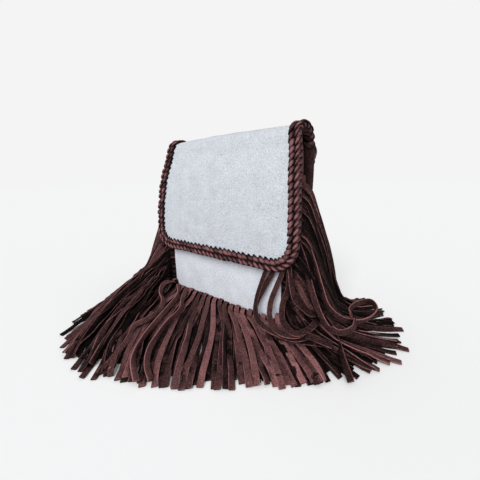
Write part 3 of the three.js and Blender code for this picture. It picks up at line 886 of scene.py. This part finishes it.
def fall_at(seam, share):
    """How a strip falls that leaves a side seam at a share of its length."""
    rows = FALLS[seam]
    shares = [row[0] for row in rows]
    return np.array([np.interp(share, shares, heights) for heights in zip(*(row[1] for row in rows))])


def heading(degrees):
    angle = math.radians(degrees)
    return np.array([math.sin(angle), -math.cos(angle)])


def smooth_step(value, start=0.0, over=1.0):
    """From 0 to 1, smoothly, as a value goes from a start over a distance."""
    value = np.clip((value - start) / over, 0.0, 1.0)
    return value * value * (3 - 2 * value)


# A slow swing: how many waves, and the heights and lengths that they are drawn from.
WAVES, WAVE_HIGHS, WAVE_LONGS = 3, (0.4, 1.0), (60, 170)


def wander(rng, size):
    """A slow random swing along a strip, as a function of length."""
    waves = []
    for _ in range(WAVES):
        high = rng.uniform(*WAVE_HIGHS) * size
        waves.append((high, rng.uniform(*WAVE_LONGS), rng.uniform(0, 2 * math.pi)))
    return lambda s: sum(high * np.sin(2 * math.pi * s / long + phase) for high, long, phase in waves)


# Steps of a strip's way over the floor, how its end varies, in degrees, and how far back its end is drawn.
PLAN_STEPS, END_NOISE, END_DRAW = 200, 3, 0.35


def plan(root, strip, rng):
    """A strip's way over the floor from its root to its tip, and the length along it."""
    line = strip.tip - root
    far = np.linalg.norm(line)
    straight = math.degrees(math.atan2(line[0], -line[1]))
    first = heading(strip.leave) * strip.lead
    back = straight - (strip.leave - straight) * strip.bend + rng.normal(0, END_NOISE)
    last = heading(back) * far * END_DRAW
    t = np.linspace(0, 1, PLAN_STEPS)[:, None]
    curve = (1 - t) ** 3 * root + 3 * (1 - t) ** 2 * t * (root + first)
    curve = curve + 3 * (1 - t) * t**2 * (strip.tip - last) + t**3 * strip.tip
    aside = np.array([-line[1], line[0]]) / far
    curve = curve + aside * np.sin(np.pi * t) * wander(rng, strip.sway)(t * far)
    return curve, running_length(curve)


def even(points, step):
    """Points at even steps along a line."""
    lengths = running_length(points)
    at = np.linspace(0, lengths[-1], round(lengths[-1] / step) + 1)
    return np.stack([np.interp(at, lengths, points[:, i]) for i in range(points.shape[1])], -1)


def across_of(path):
    """The level way across a path."""
    way = unit(np.gradient(path[:, :2], axis=0))
    return np.stack([-way[:, 1], way[:, 0]], -1)


# The swing and base of a strip's loft, how much of it is lost, and from where over which share of its way.
LOFT_SWING, LOFT_BASE, LOFT_LOSS, LOFT_END = 0.5, 0.4, 0.85, (0.5, 0.3)
# A strip tilts on what is near below it, as felt across a share of its width, up to a limit in radians.
NEAR, TILT_SHARE, TILT_LIMIT = 2, 0.8, 0.9
# How far strips may sink into what they lie on.
SINK = 0.4


def course(strip, pile, rng, width, thick):
    """A strip's path, the way across it, how it tilts on what it lies on, and the steps in its hump."""
    head = spline(strip.head, HEAD_STEPS)
    curve, lengths = plan(head[-1][:2], strip, rng)
    heights = head[-1][2] * np.interp(lengths / lengths[-1], WAY_SHARES, strip.fall)
    path = even(np.vstack([head, np.column_stack([curve, heights])[1:]]), STEP)
    held = round(running_length(head)[-1] / STEP)
    across = across_of(path)
    share = np.arange(len(path)) / len(path)
    lofts = strip.loft * np.maximum(wander(rng, LOFT_SWING)(share * len(path) * STEP) + LOFT_BASE, 0)
    lofts *= 1 - LOFT_LOSS * smooth_step(share, *LOFT_END)
    feet = np.stack([pile.at(path[:, :2] + across * foot * width) for foot in FEET])
    left, right = feet[:2].max(0), feet[3:].max(0)
    floors = np.maximum((left + right) / 2, feet[2]) + thick / 2
    floors = np.minimum(floors, path[:, 2] + strip.lift)
    rests = path[:, 2] < floors + lofts + NEAR
    tilts = np.where(rests, np.arctan2(right - left, TILT_SHARE * width), 0)
    tilts = np.clip(smoothed(tilts), -TILT_LIMIT, TILT_LIMIT)
    floors[:held] = 0
    path[held:, 2] = np.maximum(path[held:, 2], (floors + lofts)[held:])
    return ease_down(path, floors, held), across, tilts, held


def ease_down(path, floors, held, rounds=16):
    """Smooths a path's height, but never far below what it lies on."""
    for _ in range(rounds):
        z = path[:, 2].copy()
        z[1:-1] = z[1:-1] * 0.5 + (z[:-2] + z[2:]) * 0.25
        path[held:, 2] = np.maximum(z[held:], floors[held:] - SINK)
    return path


def smoothed(values, reach=7):
    weights = np.hanning(2 * reach + 3)[1:-1]
    padded = np.pad(values, reach, mode="edge")
    return np.convolve(padded, weights / weights.sum(), mode="valid")


def lay_on(pile, path, across, tilts, width, thick):
    """Raises the pile where a strip lies on it."""
    steep = np.abs(np.gradient(path[:, 2])) / STEP
    lies = (path[:, 2] < PILE_LIMIT) & (steep < PILE_STEEP)
    for share in np.linspace(-0.5, 0.5, PILE_PLACES):
        spots = path[:, :2] + across * (width * share * np.cos(tilts))[:, None]
        tops = path[:, 2] + share * width * np.sin(tilts) + thick / 2
        pile.lay(spots[lies], tops[lies])


def twist(path, side, rolls):
    """The way a strip's width and face lie along its path, turned by its rolls."""
    way = unit(np.gradient(path, axis=0))
    side = unit(side - way * (side * way).sum(-1, keepdims=True))
    face = np.cross(side, way)
    roll = rolls[:, None]
    return side * np.cos(roll) + face * np.sin(roll), face * np.cos(roll) - side * np.sin(roll)


# Lengths after which and over which a strip turns flat, and over which its roll and its lean set in.
FLAT_AFTER, FLAT_OVER, ROLL_IN, LEAN_OVER = 8, 34, (10, 30), 20
# How much of its stand on its edge a strip loses, and from where over which share of its length.
STAND_LOSS, STAND_END = 0.7, (0.6, 0.4)


def lay_strip(strip, pile, rng, width, thick):
    """Lays one strip on the pile and gives its path, width and face."""
    path, across, tilts, held = course(strip, pile, rng, width, thick)
    lay_on(pile, path[held:], across[held:], tilts[held:], width, thick)
    lengths = np.arange(len(path)) * STEP
    low = np.argmax((path[:, 2] < strip.level) & (lengths > FLAT_AFTER))
    lies = smooth_step(lengths, lengths[low], FLAT_OVER)
    level_across = np.column_stack([across, np.zeros(len(path))])
    side = unit(np.array(strip.flat, float) * (1 - lies)[:, None] + level_across * lies[:, None])
    share = lengths / lengths[-1]
    rolls = np.radians(wander(rng, strip.roll)(lengths)) * smooth_step(lengths, *ROLL_IN)
    rolls += math.radians(strip.stand) * lies * (1 - STAND_LOSS * smooth_step(share, *STAND_END))
    path[:, 2] += np.abs(np.sin(rolls)) * width / 2 * lies
    leans = math.radians(strip.lean) * (1 - lies) * smooth_step(lengths, 0, LEAN_OVER)
    return path, *twist(path, side, rolls + leans - tilts * lies)


def carried(ways, side):
    """A strip's width, carried along its ways without turning about them."""
    sides = []
    for way in ways:
        side = unit(side - way * (side @ way))
        sides.append(side)
    return np.array(sides)


# Strips on routes: steps to a span, how wide they feel for the pile, how far it lifts them, the height above
# which it doesn't, how much they roll, in degrees, and how steeply one starts that hangs.
ROUTE_STEPS, ROUTE_FEET, ROUTE_LIFT, ROUTE_HANGS, ROUTE_ROLL, ROUTE_STEEP = 10, 0.6, 6, 32, 8, -0.5
# They come to stand on their edges over a share of their length, and lose some of that at their ends.
ROUTE_STAND_OVER, ROUTE_STAND_LOSS, ROUTE_STAND_END = 0.35, 0.6, (0.75, 0.25)


def lay_route(points, stand, pile, rng, width, thick):
    """Lays a strip along a given route, lifted a little where the pile is higher."""
    path = spline(points, ROUTE_STEPS)
    across = across_of(path)
    floors = np.zeros(len(path))
    for step, (spot, aside) in enumerate(zip(path[:, :2], across)):
        floors[step] = pile.at(spot + aside * FEET * width * ROUTE_FEET).max()
    floors = np.minimum(floors + thick / 2, path[:, 2] + ROUTE_LIFT)
    held = int(np.argmax(path[:, 2] < ROUTE_HANGS))
    floors[:held] = 0
    path[:, 2] = np.maximum(path[:, 2], floors)
    path = ease_down(path, floors, held)
    lengths = np.arange(len(path)) * STEP
    share = np.linspace(0, 1, len(path))
    stands = stand * smooth_step(share, 0, ROUTE_STAND_OVER)
    stands = stands * (1 - ROUTE_STAND_LOSS * smooth_step(share, *ROUTE_STAND_END))
    rolls = np.radians(wander(rng, ROUTE_ROLL)(lengths) + stands)
    ways = unit(np.gradient(path, axis=0))
    first = [1.0, 0, 0] if ways[0, 2] < ROUTE_STEEP else [*across[0], 0]
    side, face = twist(path, carried(ways, np.array(first)), rolls)
    path[held:, 2] += (np.abs(side[:, 2]) * width / 2)[held:]
    return path, side, face


# A strip's cross-section, in shares of its width and thickness, and how far out its cut edges are.
SECTION = [
    (-0.5, -0.2), (-0.4, -0.5), (0.4, -0.5), (0.5, -0.2),
    (0.5, 0.2), (0.4, 0.5), (-0.4, 0.5), (-0.5, 0.2),
]
CUT_EDGE = 0.49
# How narrow a strip is at its hole, how soon it is wide, and how low it may come.
NARROW, WIDE_AFTER, FLOOR_GAP = 0.62, 20.0, 0.15
# How far its corners look to the side and out of its face.
LOOK_SIDE, LOOK_FACE = 0.6, 2


def ribbon(path, side, face, width, thick, tone):
    """A cut strip along a path, drawn in where it leaves its hole; its values are tone with painted shade,
    cut edge and normal.
    """
    section = np.array(SECTION)
    widths = width * (NARROW + (1 - NARROW) * smooth_step(np.arange(len(path)) * STEP, 0, WIDE_AFTER))
    points = path[:, None] + side[:, None] * section[None, :, :1] * widths[:, None, None]
    points = points + face[:, None] * (section[:, 1] * thick)[None, :, None]
    points = points.reshape(-1, 3)
    points[:, 2] = np.maximum(points[:, 2], FLOOR_GAP)
    # Cut edges are painted lighter: partly the cut suede's own paler edge, partly painted highlight.
    edge = np.tile((np.abs(section[:, 0]) > CUT_EDGE).astype(float), len(path))
    normals = side[:, None] * section[None, :, :1] * LOOK_SIDE
    normals = normals + face[:, None] * section[None, :, 1:] * LOOK_FACE
    values = np.column_stack([np.full(len(points), tone), edge, unit(normals).reshape(-1, 3)])
    return points, tube_faces(len(path), len(section)), values


def panel_face(z):
    """Depth of the front panel's outer face at a height."""
    rows = FRONT_PANEL[::-1]
    return np.interp(z, [row[2] for row in rows], [row[1] for row in rows]) - LEATHER / 2


# Layers of strips at the front, from the lowest up. Shift is of the pitch; past is how far it starts past
# the left end hole; foot and high are a hump's height over the floor and over that; out is how far it comes
# forward; slope is how slowly a strip falls from it; stands is the share of strips that stand on edge.
# The lower layers get a darker tone, painted shade for lying underneath.
FRONT_COLUMNS = ("shift", "past", "foot", "high", "out", "slope", "width", "reach", "tone", "stands")
FRONT_LAYERS = [
    (0.12, 8.0, 3.0, (1.5, 1.5), (4.5, 4.5), 9.0, 1.15, (0.86, 0.97), (-0.3, 0.1), 0.0),
    (0.45, 8.0, 4.2, (1.5, 1.5), (4.5, 4.5), 9.0, 1.15, (0.86, 0.97), (-0.3, 0.1), 0.0),
    (0.78, 8.0, 5.4, (1.5, 1.5), (4.5, 4.5), 9.0, 1.15, (0.86, 0.97), (-0.3, 0.1), 0.0),
    (0.5, 0.0, 5.4, (3.0, 5.0), (7.0, 9.0), 14.0, 0.96, (0.96, 1.01), (-0.25, 0.65), 0.3),
    (0.0, 0.0, 4.5, (9.0, 11.5), (13.0, 17.0), 20.0, 0.98, (0.98, 1.02), (0.2, 1.35), 0.4),
]
# A hump from its hole on, in shares of how far it goes aside, comes forward and is high.
HUMP = [(0.0, 0.08, 0.6), (0.1, 0.34, 1.0), (0.4, 0.68, 0.9), (1.0, 1.0, 0.5)]
HUMP_ASIDE = 0.4
# Humps start behind the panel's face and a little low, and tips are measured from before the face.
HOLE_BEHIND, HOLE_BELOW, TIP_BEFORE = 1.0, 2.0, 4.0
# End holes keep in from the sides; towards the ends humps are higher, as the panel's corners are.
END_MARGIN, CORNER_FROM, CORNER_RISE = 6.0, 0.9, 80
# How front strips vary: the ways they leave and go, in degrees, and how they lie.
FRONT_LEAVE, FRONT_TURN, FRONT_STAND = 4, 1.2, (35, 70)
FRONT_LIES, FRONT_LIFT = {"loft": (0, 1.6), "roll": (3, 9), "sway": (0.3, 1.4)}, 12.0


def drawn(rng, spans):
    """A random value from each span, by its key."""
    return {key: rng.uniform(*span) for key, span in spans.items()}


def front_strips(rng, pitch):
    """Strips hung from the holes along the front panel's foot, layer on layer, the topmost in humps."""
    span = BODY_HALF - END_MARGIN
    holes = round(2 * span / pitch)
    face = panel_face(PANEL_FOOT)
    strips = []
    for order, values in enumerate(FRONT_LAYERS):
        layer = dict(zip(FRONT_COLUMNS, values))
        for hole in range(holes + 1):
            share = min((hole + layer["shift"]) / holes, 1)
            x = span * (2 * share - 1) - layer["past"] * (1 - share)
            leave, lead, turn, reach, bend = spread_at("front", share)
            leave += rng.normal(0, FRONT_LEAVE)
            turn += rng.normal(0, FRONT_TURN)
            reach *= rng.uniform(*layer["reach"])
            foot = layer["foot"] + max(abs(x) / span - CORNER_FROM, 0) * CORNER_RISE
            high = rng.uniform(*layer["high"])
            out = rng.uniform(*layer["out"])
            aside = heading(leave)[0] * out * HUMP_ASIDE
            head = [(x, face + HOLE_BEHIND, foot - HOLE_BELOW)]
            for sideways, forward, up in HUMP:
                head.append((x + aside * sideways, face - out * forward, foot + high * up))
            stand = rng.choice([-1, 1]) * rng.uniform(*FRONT_STAND)
            strips.append(Strip(
                seam="front", head=head, flat=(1, 0, 0), order=rng.uniform(0, 1) + order,
                leave=leave, lead=lead, bend=bend,
                tip=np.array([x, face - TIP_BEFORE]) + heading(turn) * reach,
                fall=np.exp(-np.array(WAY_SHARES) * reach / layer["slope"]), level=foot,
                tone=rng.uniform(*layer["tone"]), **drawn(rng, FRONT_LIES),
                width=layer["width"], lift=FRONT_LIFT,
                stand=stand if rng.random() < layer["stands"] else 0.0,
            ))
    return strips


# Heights of the end holes at the sides, where tips are measured from, and below which roots are low.
SIDE_TOP, SIDE_FOOT = 187.0, 14.0
SIDE_ROOT = (111.0, -22.0)
LOW_ROOTS = 75.0
# By side: layers of strips at a low and at a high hole and how many of them are topmost at a high one, their
# width, how much lower the undermost fall, and how the way to the tip varies, in degrees. Then how many are
# topmost at a low hole, and undermost.
SIDES = {
    "left": {"way": -1, "low": 7, "high": 4, "tops": 2, "width": 0.82, "drop": 0.07, "turn": 3.5},
    "right": {"way": 1, "low": 5, "high": 4, "tops": 3, "width": 0.88, "drop": 0.03, "turn": 2.5},
}
LOW_TOPS, UNDERMOST = 2, 2
# By kind of strip: how long it is, how the way it leaves varies, in degrees, and its tone. Under strips get
# a darker tone, painted shade for lying below;
# the topmost side strips are kept darker than the front's top layer, painted shade on the sides.
TOPMOST = {"reach": (0.95, 1.02), "leave": 4, "tone": (-0.6, 0.75)}
UNDER = {"reach": (0.74, 0.94), "leave": 14, "tone": (-0.75, -0.25)}
# Below a height at the left, under strips leave up to so many degrees further round.
LEFT_FOOT, LEFT_ROUND = 45, 70
# A side strip's hump: how far past the body's side, out of the panel's face and up, and how much of its
# layer's way out comes to the first two.
SIDE_HUMP = [(-4, -1.0, 0, 0, 0), (-2.5, 1.2, 0.6, 0, 0.5), (0.5, 1.8, 1.0, 0, 1), (4.0, 1.6, 0, 1, 1)]
LAYER_OUT, OUT_LAYERS = 0.8, 2
# Side strips are laid after the front ones, from the lowest up, with a little chance in it.
SIDE_ORDER, ORDER_NOISE, ORDER_LAYER = 20, 6, 4
# They turn flat below a height, or a little below their own root.
SIDE_LEVEL, ROOT_LEVEL = 46, 4
# How side strips vary: place on the seam, and how they lean and lie.
SHARE_NOISE, SIDE_LEAN, SIDE_STAND = 0.015, (18, 42), (25, 70)
SIDE_LIES = {"loft": (0.2, 1.6), "roll": (6, 16), "sway": (0.6, 2.0)}


def side_strips(rng, pitch, seam):
    """Strips hung in layers from the holes down one side of the front panel, the topmost last."""
    facts = SIDES[seam]
    side = facts["way"]
    holes = round((SIDE_TOP - SIDE_FOOT) / pitch)
    strips = []
    for hole in range(holes + 1):
        z = SIDE_TOP + (SIDE_FOOT - SIDE_TOP) * hole / holes
        face = panel_face(z)
        layers = facts["low" if z < LOW_ROOTS else "high"]
        tops = facts["tops"] if z > LOW_ROOTS else LOW_TOPS
        for layer in range(layers):
            top = layer >= layers - tops
            kind = TOPMOST if top else UNDER
            shift = (layer + 0.5) / layers - 0.5
            share = min(max((hole + shift) / holes + rng.normal(0, SHARE_NOISE), 0), 1)
            leave, lead, turn, reach, bend = spread_at(seam, share)
            if seam == "left" and z < LEFT_FOOT and not top:
                leave -= rng.uniform(0, LEFT_ROUND)
            turn += rng.normal(0, facts["turn"])
            reach *= rng.uniform(*kind["reach"])
            out = min(layer, OUT_LAYERS) * LAYER_OUT
            root = z - shift * pitch
            head = []
            for past, before, up, more_past, more_before in SIDE_HUMP:
                x = side * (BODY_HALF + past + out * more_past)
                head.append((x, face - before - out * more_before, root + up))
            strips.append(Strip(
                seam=seam, head=head, flat=(0, 0, 1),
                order=SIDE_ORDER + z + rng.uniform(-ORDER_NOISE, ORDER_NOISE) + ORDER_LAYER * layer,
                leave=leave + rng.normal(0, kind["leave"]), lead=lead, bend=bend,
                tip=np.array([side * SIDE_ROOT[0], SIDE_ROOT[1]]) + heading(turn) * reach,
                fall=fall_at(seam, share) * (1 - facts["drop"] * max(UNDERMOST - layer, 0)),
                level=min(SIDE_LEVEL, z - ROOT_LEVEL),
                tone=rng.uniform(*kind["tone"]), lean=side * rng.uniform(*SIDE_LEAN),
                **drawn(rng, SIDE_LIES), width=facts["width"],
                stand=rng.choice([-1, 1]) * (rng.uniform(*SIDE_STAND) if top else 0),
            ))
    return strips


# The space taken by the body of the bag, as points, which shuts in strips for the painted shade.
BODY_SPACE = [np.arange(low, high, CROWD_CELL) for low, high in ((-106, 107), (-22, 27), (2, 200))]
BODY_FILL = np.stack(np.meshgrid(*BODY_SPACE), -1).reshape(-1, 3)
ROUTE_TONES = {"front": (0.4, 0.8), "right": (-0.25, 0.25)}
OWN_WIDTHS = (0.92, 1.06)
# Faces of a strip meet sharply above an angle, in degrees.
STRIP_ANGLE = 40


def lay_fringe(sizes):
    """Lays every strip on those already there, with the routes among them, and gives the meshes by seam."""
    rng = np.random.default_rng(sizes.seed)
    width, thick, pitch = in_mm(sizes.strip_width), in_mm(sizes.strip_thick), in_mm(sizes.strip_pitch)
    strips = front_strips(np.random.default_rng(sizes.seed + 1), in_mm(sizes.hump_pitch))
    strips += side_strips(np.random.default_rng(sizes.seed + 2), pitch, "left")
    strips += side_strips(np.random.default_rng(sizes.seed + 3), pitch, "right")
    pile = Pile(FRINGE_LOW[:2], FRINGE_HIGH[:2], PILE_CELL, float)
    laid = {"left": [], "front": [], "right": []}
    routes = list(ROUTES)

    def lay_routes(order):
        while routes and order > SIDE_ORDER + routes[0][1]:
            seam, _, stand, points = routes.pop(0)
            shape = lay_route(points, stand, pile, rng, width, thick)
            laid[seam].append(ribbon(*shape, width, thick, rng.uniform(*ROUTE_TONES[seam])))

    for strip in sorted(strips, key=lambda strip: strip.order):
        lay_routes(strip.order)
        own_width = width * strip.width * rng.uniform(*OWN_WIDTHS)
        shape = lay_strip(strip, pile, rng, own_width, thick)
        laid[strip.seam].append(ribbon(*shape, own_width, thick, strip.tone))
    lay_routes(math.inf)
    return {seam: join(parts) for seam, parts in laid.items()}


class FRINGE_BAG_OT_fringe(bpy.types.Operator):
    """The suede strips on the left, lower and right seams of the front panel, laid one on another."""

    bl_idname = "fringe_bag.fringe"
    bl_label = "Fringe"

    def execute(self, context):
        sizes = settings()
        pieces = lay_fringe(sizes)
        crowd = Crowd(FRINGE_LOW, FRINGE_HIGH, CROWD_CELL, bool)
        crowd.fill(BODY_FILL)
        for points, _, _ in pieces.values():
            crowd.fill(points)
            crowd.fill(points.reshape(-1, len(SECTION), 3).mean(1))
        suede = brown_suede("brown_suede", tuple(sizes.brown), FRINGE_ROUGHNESS)
        for seam, (points, faces, values) in pieces.items():
            # Painted shade: strips are darkened where the crowd shuts them in, and their lighter cut edges
            # fade there.
            painted_shade = crowd.painted_shade(points, values[:, 2:])
            attributes = {"tone": values[:, 0], "edge": values[:, 1] * (1 - painted_shade), "painted_shade": painted_shade}
            node = "fringe_" + seam
            name = node + "_strips"
            make_piece(name, points, faces, suede, [node], attributes, STRIP_ANGLE)
        return {"FINISHED"}


# A knot: turns of lace wound upwards, how far each slants, how far in on the band it sits, the lace's radius
# as a share of its width, its tone, and steps along it.
KNOT_TURNS, KNOT_SLANT, KNOT_SEAT, KNOT_LACE, KNOT_TONE, KNOT_STEPS = 3, 2.2, 2.0, 0.25, 0.2, 73
# Its barrel takes a part of a half wave from a start, and its lace is painted lighter by how far out it
# lies, as wear and painted highlight, and darker inwards as painted shade.
BARREL_FROM, BARREL_PART, KNOT_WEAR_AND_HIGHLIGHT, KNOT_DARK = 0.22, 0.56, 2.2, 0.4
# One end is drawn across: from an angle over another, in degrees, this deep in the turns and this thin.
DRAWN_FROM, DRAWN_OVER, DRAWN_DEEP, DRAWN_THIN, DRAWN_STEPS = -65, 110, 0.4, 0.75, 25


def lace_tube(path, radius):
    """A round lace along a path, closed at both ends."""
    ways = unit(np.gradient(path, axis=0))
    side = carried(ways, np.array([0.0, 0.0, 1.0]))[:, None]
    up = np.cross(ways, side[:, 0])[:, None]
    angles = ring_angles(LACE_CORNERS)[None, :, None]
    ring = path[:, None] + radius * (side * np.cos(angles) + up * np.sin(angles))
    return ring.reshape(-1, 3), tube_faces(len(path), LACE_CORNERS)


def wound_knot(low, high, side):
    """Lace wound into a barrel in a solid's box, with one end drawn across its outer side."""
    centre, size = (low + high) / 2, high - low
    centre = centre - np.array([0, KNOT_SEAT, 0])
    radius = size[0] * KNOT_LACE

    def around(turn, far, share, slant):
        barrel = far * np.sin(np.pi * (BARREL_FROM + BARREL_PART * share))
        height = (size[2] - radius) * (share - 0.5) + slant * np.sin(turn)
        return centre + np.stack([side * barrel * np.cos(turn), barrel * np.sin(turn), height], -1)

    share = np.linspace(0, 1, KNOT_STEPS)
    wraps = around(2 * np.pi * KNOT_TURNS * share, size[0] / 2 - radius, share, KNOT_SLANT)
    share = np.linspace(0, 1, DRAWN_STEPS)
    turn = np.radians(DRAWN_OVER * share + DRAWN_FROM)
    drawn = around(turn, size[0] / 2 - radius * DRAWN_DEEP, share, 0)
    parts = []
    for path, thick in ((wraps, radius), (drawn, radius * DRAWN_THIN)):
        points, faces = lace_tube(path, thick)
        far = np.linalg.norm((points - centre)[:, :2], axis=1)
        # Painted highlight and wear on the knot's outer ridges, painted shade in its grooves.
        wear_and_highlight = np.clip(KNOT_WEAR_AND_HIGHLIGHT * far / size[0] - KNOT_DARK, 0, 1) ** RIDGE
        parts.append((points, faces, np.stack([np.full(len(points), KNOT_TONE), wear_and_highlight], -1)))
    return join(parts)


class FRINGE_BAG_OT_strap_knots(bpy.types.Operator):
    """A knot of lace at each upper back corner."""

    bl_idname = "fringe_bag.strap_knots"
    bl_label = "Strap Knots"

    def execute(self, context):
        lace = bpy.data.materials["laced_leather"]
        for name, side in (("left", -1), ("right", 1)):
            node = "strap_knot_" + name
            low, high = (np.array(corner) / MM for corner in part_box(node))
            points, faces, values = wound_knot(low, high, side)
            attributes = lace_attributes(values)
            make_piece(node + "_lace", points, faces, lace, [node], attributes)
        return {"FINISHED"}


# Studio: the floor's size in metres and its faint grain, the light all round and what the camera sees of it,
# and a soft sun with its width, tilt and turn in degrees.
FLOOR_SIZE, FLOOR_GRAIN, FLOOR_GAINS = 30, (300, 2), [(0.3, 0.998), (0.7, 1.0)]
WORLD_COLOUR, WORLD_STRENGTH, SEEN_COLOUR = (0.98, 0.99, 1.0, 1), 0.45, (0.905, 0.905, 0.905, 1)
SUN_ENERGY, SUN_WIDTH, SUN_TILT, SUN_TURN = 2.62, 36, 50, 20
# The camera as fitted to the photo: place in metres, angles in degrees, lens and sensor in millimetres.
CAMERA_PLACE = (0.2455, -0.2849, 0.1885)
CAMERA_TURN, CAMERA_DIP, CAMERA_ROLL = 38.61, 13.44, -1.05
CAMERA_LENS, CAMERA_SENSOR, CAMERA_NEAR = 19.02, 36, 0.01


class FRINGE_BAG_OT_stage(bpy.types.Operator):
    """The pale floor, the soft light and the camera."""

    bl_idname = "fringe_bag.stage"
    bl_label = "Stage"

    def execute(self, context):
        scene = context.scene
        scene.view_settings.view_transform = "Standard"
        self.floor()
        self.light(scene)
        self.camera(scene)
        return {"FINISHED"}

    def floor(self):
        bpy.ops.object.select_all(action="DESELECT")
        bpy.ops.mesh.primitive_plane_add(size=FLOOR_SIZE)
        floor = bpy.context.object
        floor.name = "floor"
        material, tree, shader, place = new_material("pale_floor")
        grain = noise_on(tree, place, *FLOOR_GRAIN)
        tint = ramp_on(tree, grain, tints(tuple(settings().floor), FLOOR_GAINS))
        tree.links.new(tint, shader.inputs["Base Color"])
        shader.inputs["Roughness"].default_value = 1.0
        shader.inputs["Specular IOR Level"].default_value = 0.0
        floor.data.materials.append(material)

    def light(self, scene):
        world = bpy.data.worlds.new("studio")
        scene.world = world
        world.use_nodes = True
        tree = world.node_tree
        around = tree.nodes["Background"]
        around.inputs["Color"].default_value = WORLD_COLOUR
        around.inputs["Strength"].default_value = WORLD_STRENGTH
        seen = tree.nodes.new("ShaderNodeBackground")
        seen.inputs["Color"].default_value = SEEN_COLOUR
        path = tree.nodes.new("ShaderNodeLightPath")
        mix = tree.nodes.new("ShaderNodeMixShader")
        tree.links.new(path.outputs["Is Camera Ray"], mix.inputs["Fac"])
        tree.links.new(around.outputs[0], mix.inputs[1])
        tree.links.new(seen.outputs[0], mix.inputs[2])
        tree.links.new(mix.outputs[0], tree.nodes["World Output"].inputs["Surface"])
        sun = bpy.data.lights.new("soft_key", "SUN")
        sun.energy = SUN_ENERGY
        sun.angle = math.radians(SUN_WIDTH)
        key = bpy.data.objects.new("soft_key", sun)
        key.rotation_euler = (math.radians(SUN_TILT), 0, math.radians(SUN_TURN))
        bpy.context.collection.objects.link(key)

    def camera(self, scene):
        camera = bpy.data.cameras.new("photo_view")
        camera.sensor_width = CAMERA_SENSOR
        camera.lens = CAMERA_LENS
        camera.clip_start = CAMERA_NEAR
        view = bpy.data.objects.new("photo_view", camera)
        view.location = CAMERA_PLACE
        turn = mathutils.Matrix.Rotation(math.radians(CAMERA_TURN), 3, "Z")
        pitch = mathutils.Matrix.Rotation(math.radians(90 - CAMERA_DIP), 3, "X")
        roll = mathutils.Matrix.Rotation(math.radians(CAMERA_ROLL), 3, "Z")
        view.rotation_euler = (turn @ pitch @ roll).to_euler()
        bpy.context.collection.objects.link(view)
        scene.camera = view


class FRINGE_BAG_PT_panel(bpy.types.Panel):
    """The bag's sizes, and its pieces in the order they are made."""

    bl_label = "Fringe Bag"
    bl_idname = "FRINGE_BAG_PT_panel"
    bl_space_type = "VIEW_3D"
    bl_region_type = "UI"
    bl_category = "Fringe Bag"

    def draw(self, context):
        for key in FringeBagSettings.__annotations__:
            self.layout.prop(context.scene.fringe_bag, key)
        for operator in OPERATORS:
            self.layout.operator(operator.bl_idname)


OPERATORS = (
    FRINGE_BAG_OT_stage,
    FRINGE_BAG_OT_back_and_flap,
    FRINGE_BAG_OT_front_panel,
    FRINGE_BAG_OT_gusset,
    FRINGE_BAG_OT_edge_lacing,
    FRINGE_BAG_OT_fringe,
    FRINGE_BAG_OT_strap_knots,
)
CLASSES = (FringeBagSettings, *OPERATORS, FRINGE_BAG_PT_panel)


def register():
    for cls in CLASSES:
        bpy.utils.register_class(cls)
    bpy.types.Scene.fringe_bag = bpy.props.PointerProperty(type=FringeBagSettings)


def unregister():
    del bpy.types.Scene.fringe_bag
    for cls in reversed(CLASSES):
        bpy.utils.unregister_class(cls)


def main():
    register()
    bpy.ops.fringe_bag.stage()
    bpy.ops.fringe_bag.back_and_flap()
    bpy.ops.fringe_bag.front_panel()
    bpy.ops.fringe_bag.gusset()
    bpy.ops.fringe_bag.edge_lacing()
    bpy.ops.fringe_bag.fringe()
    bpy.ops.fringe_bag.strap_knots()


if __name__ == "__main__":
    main()
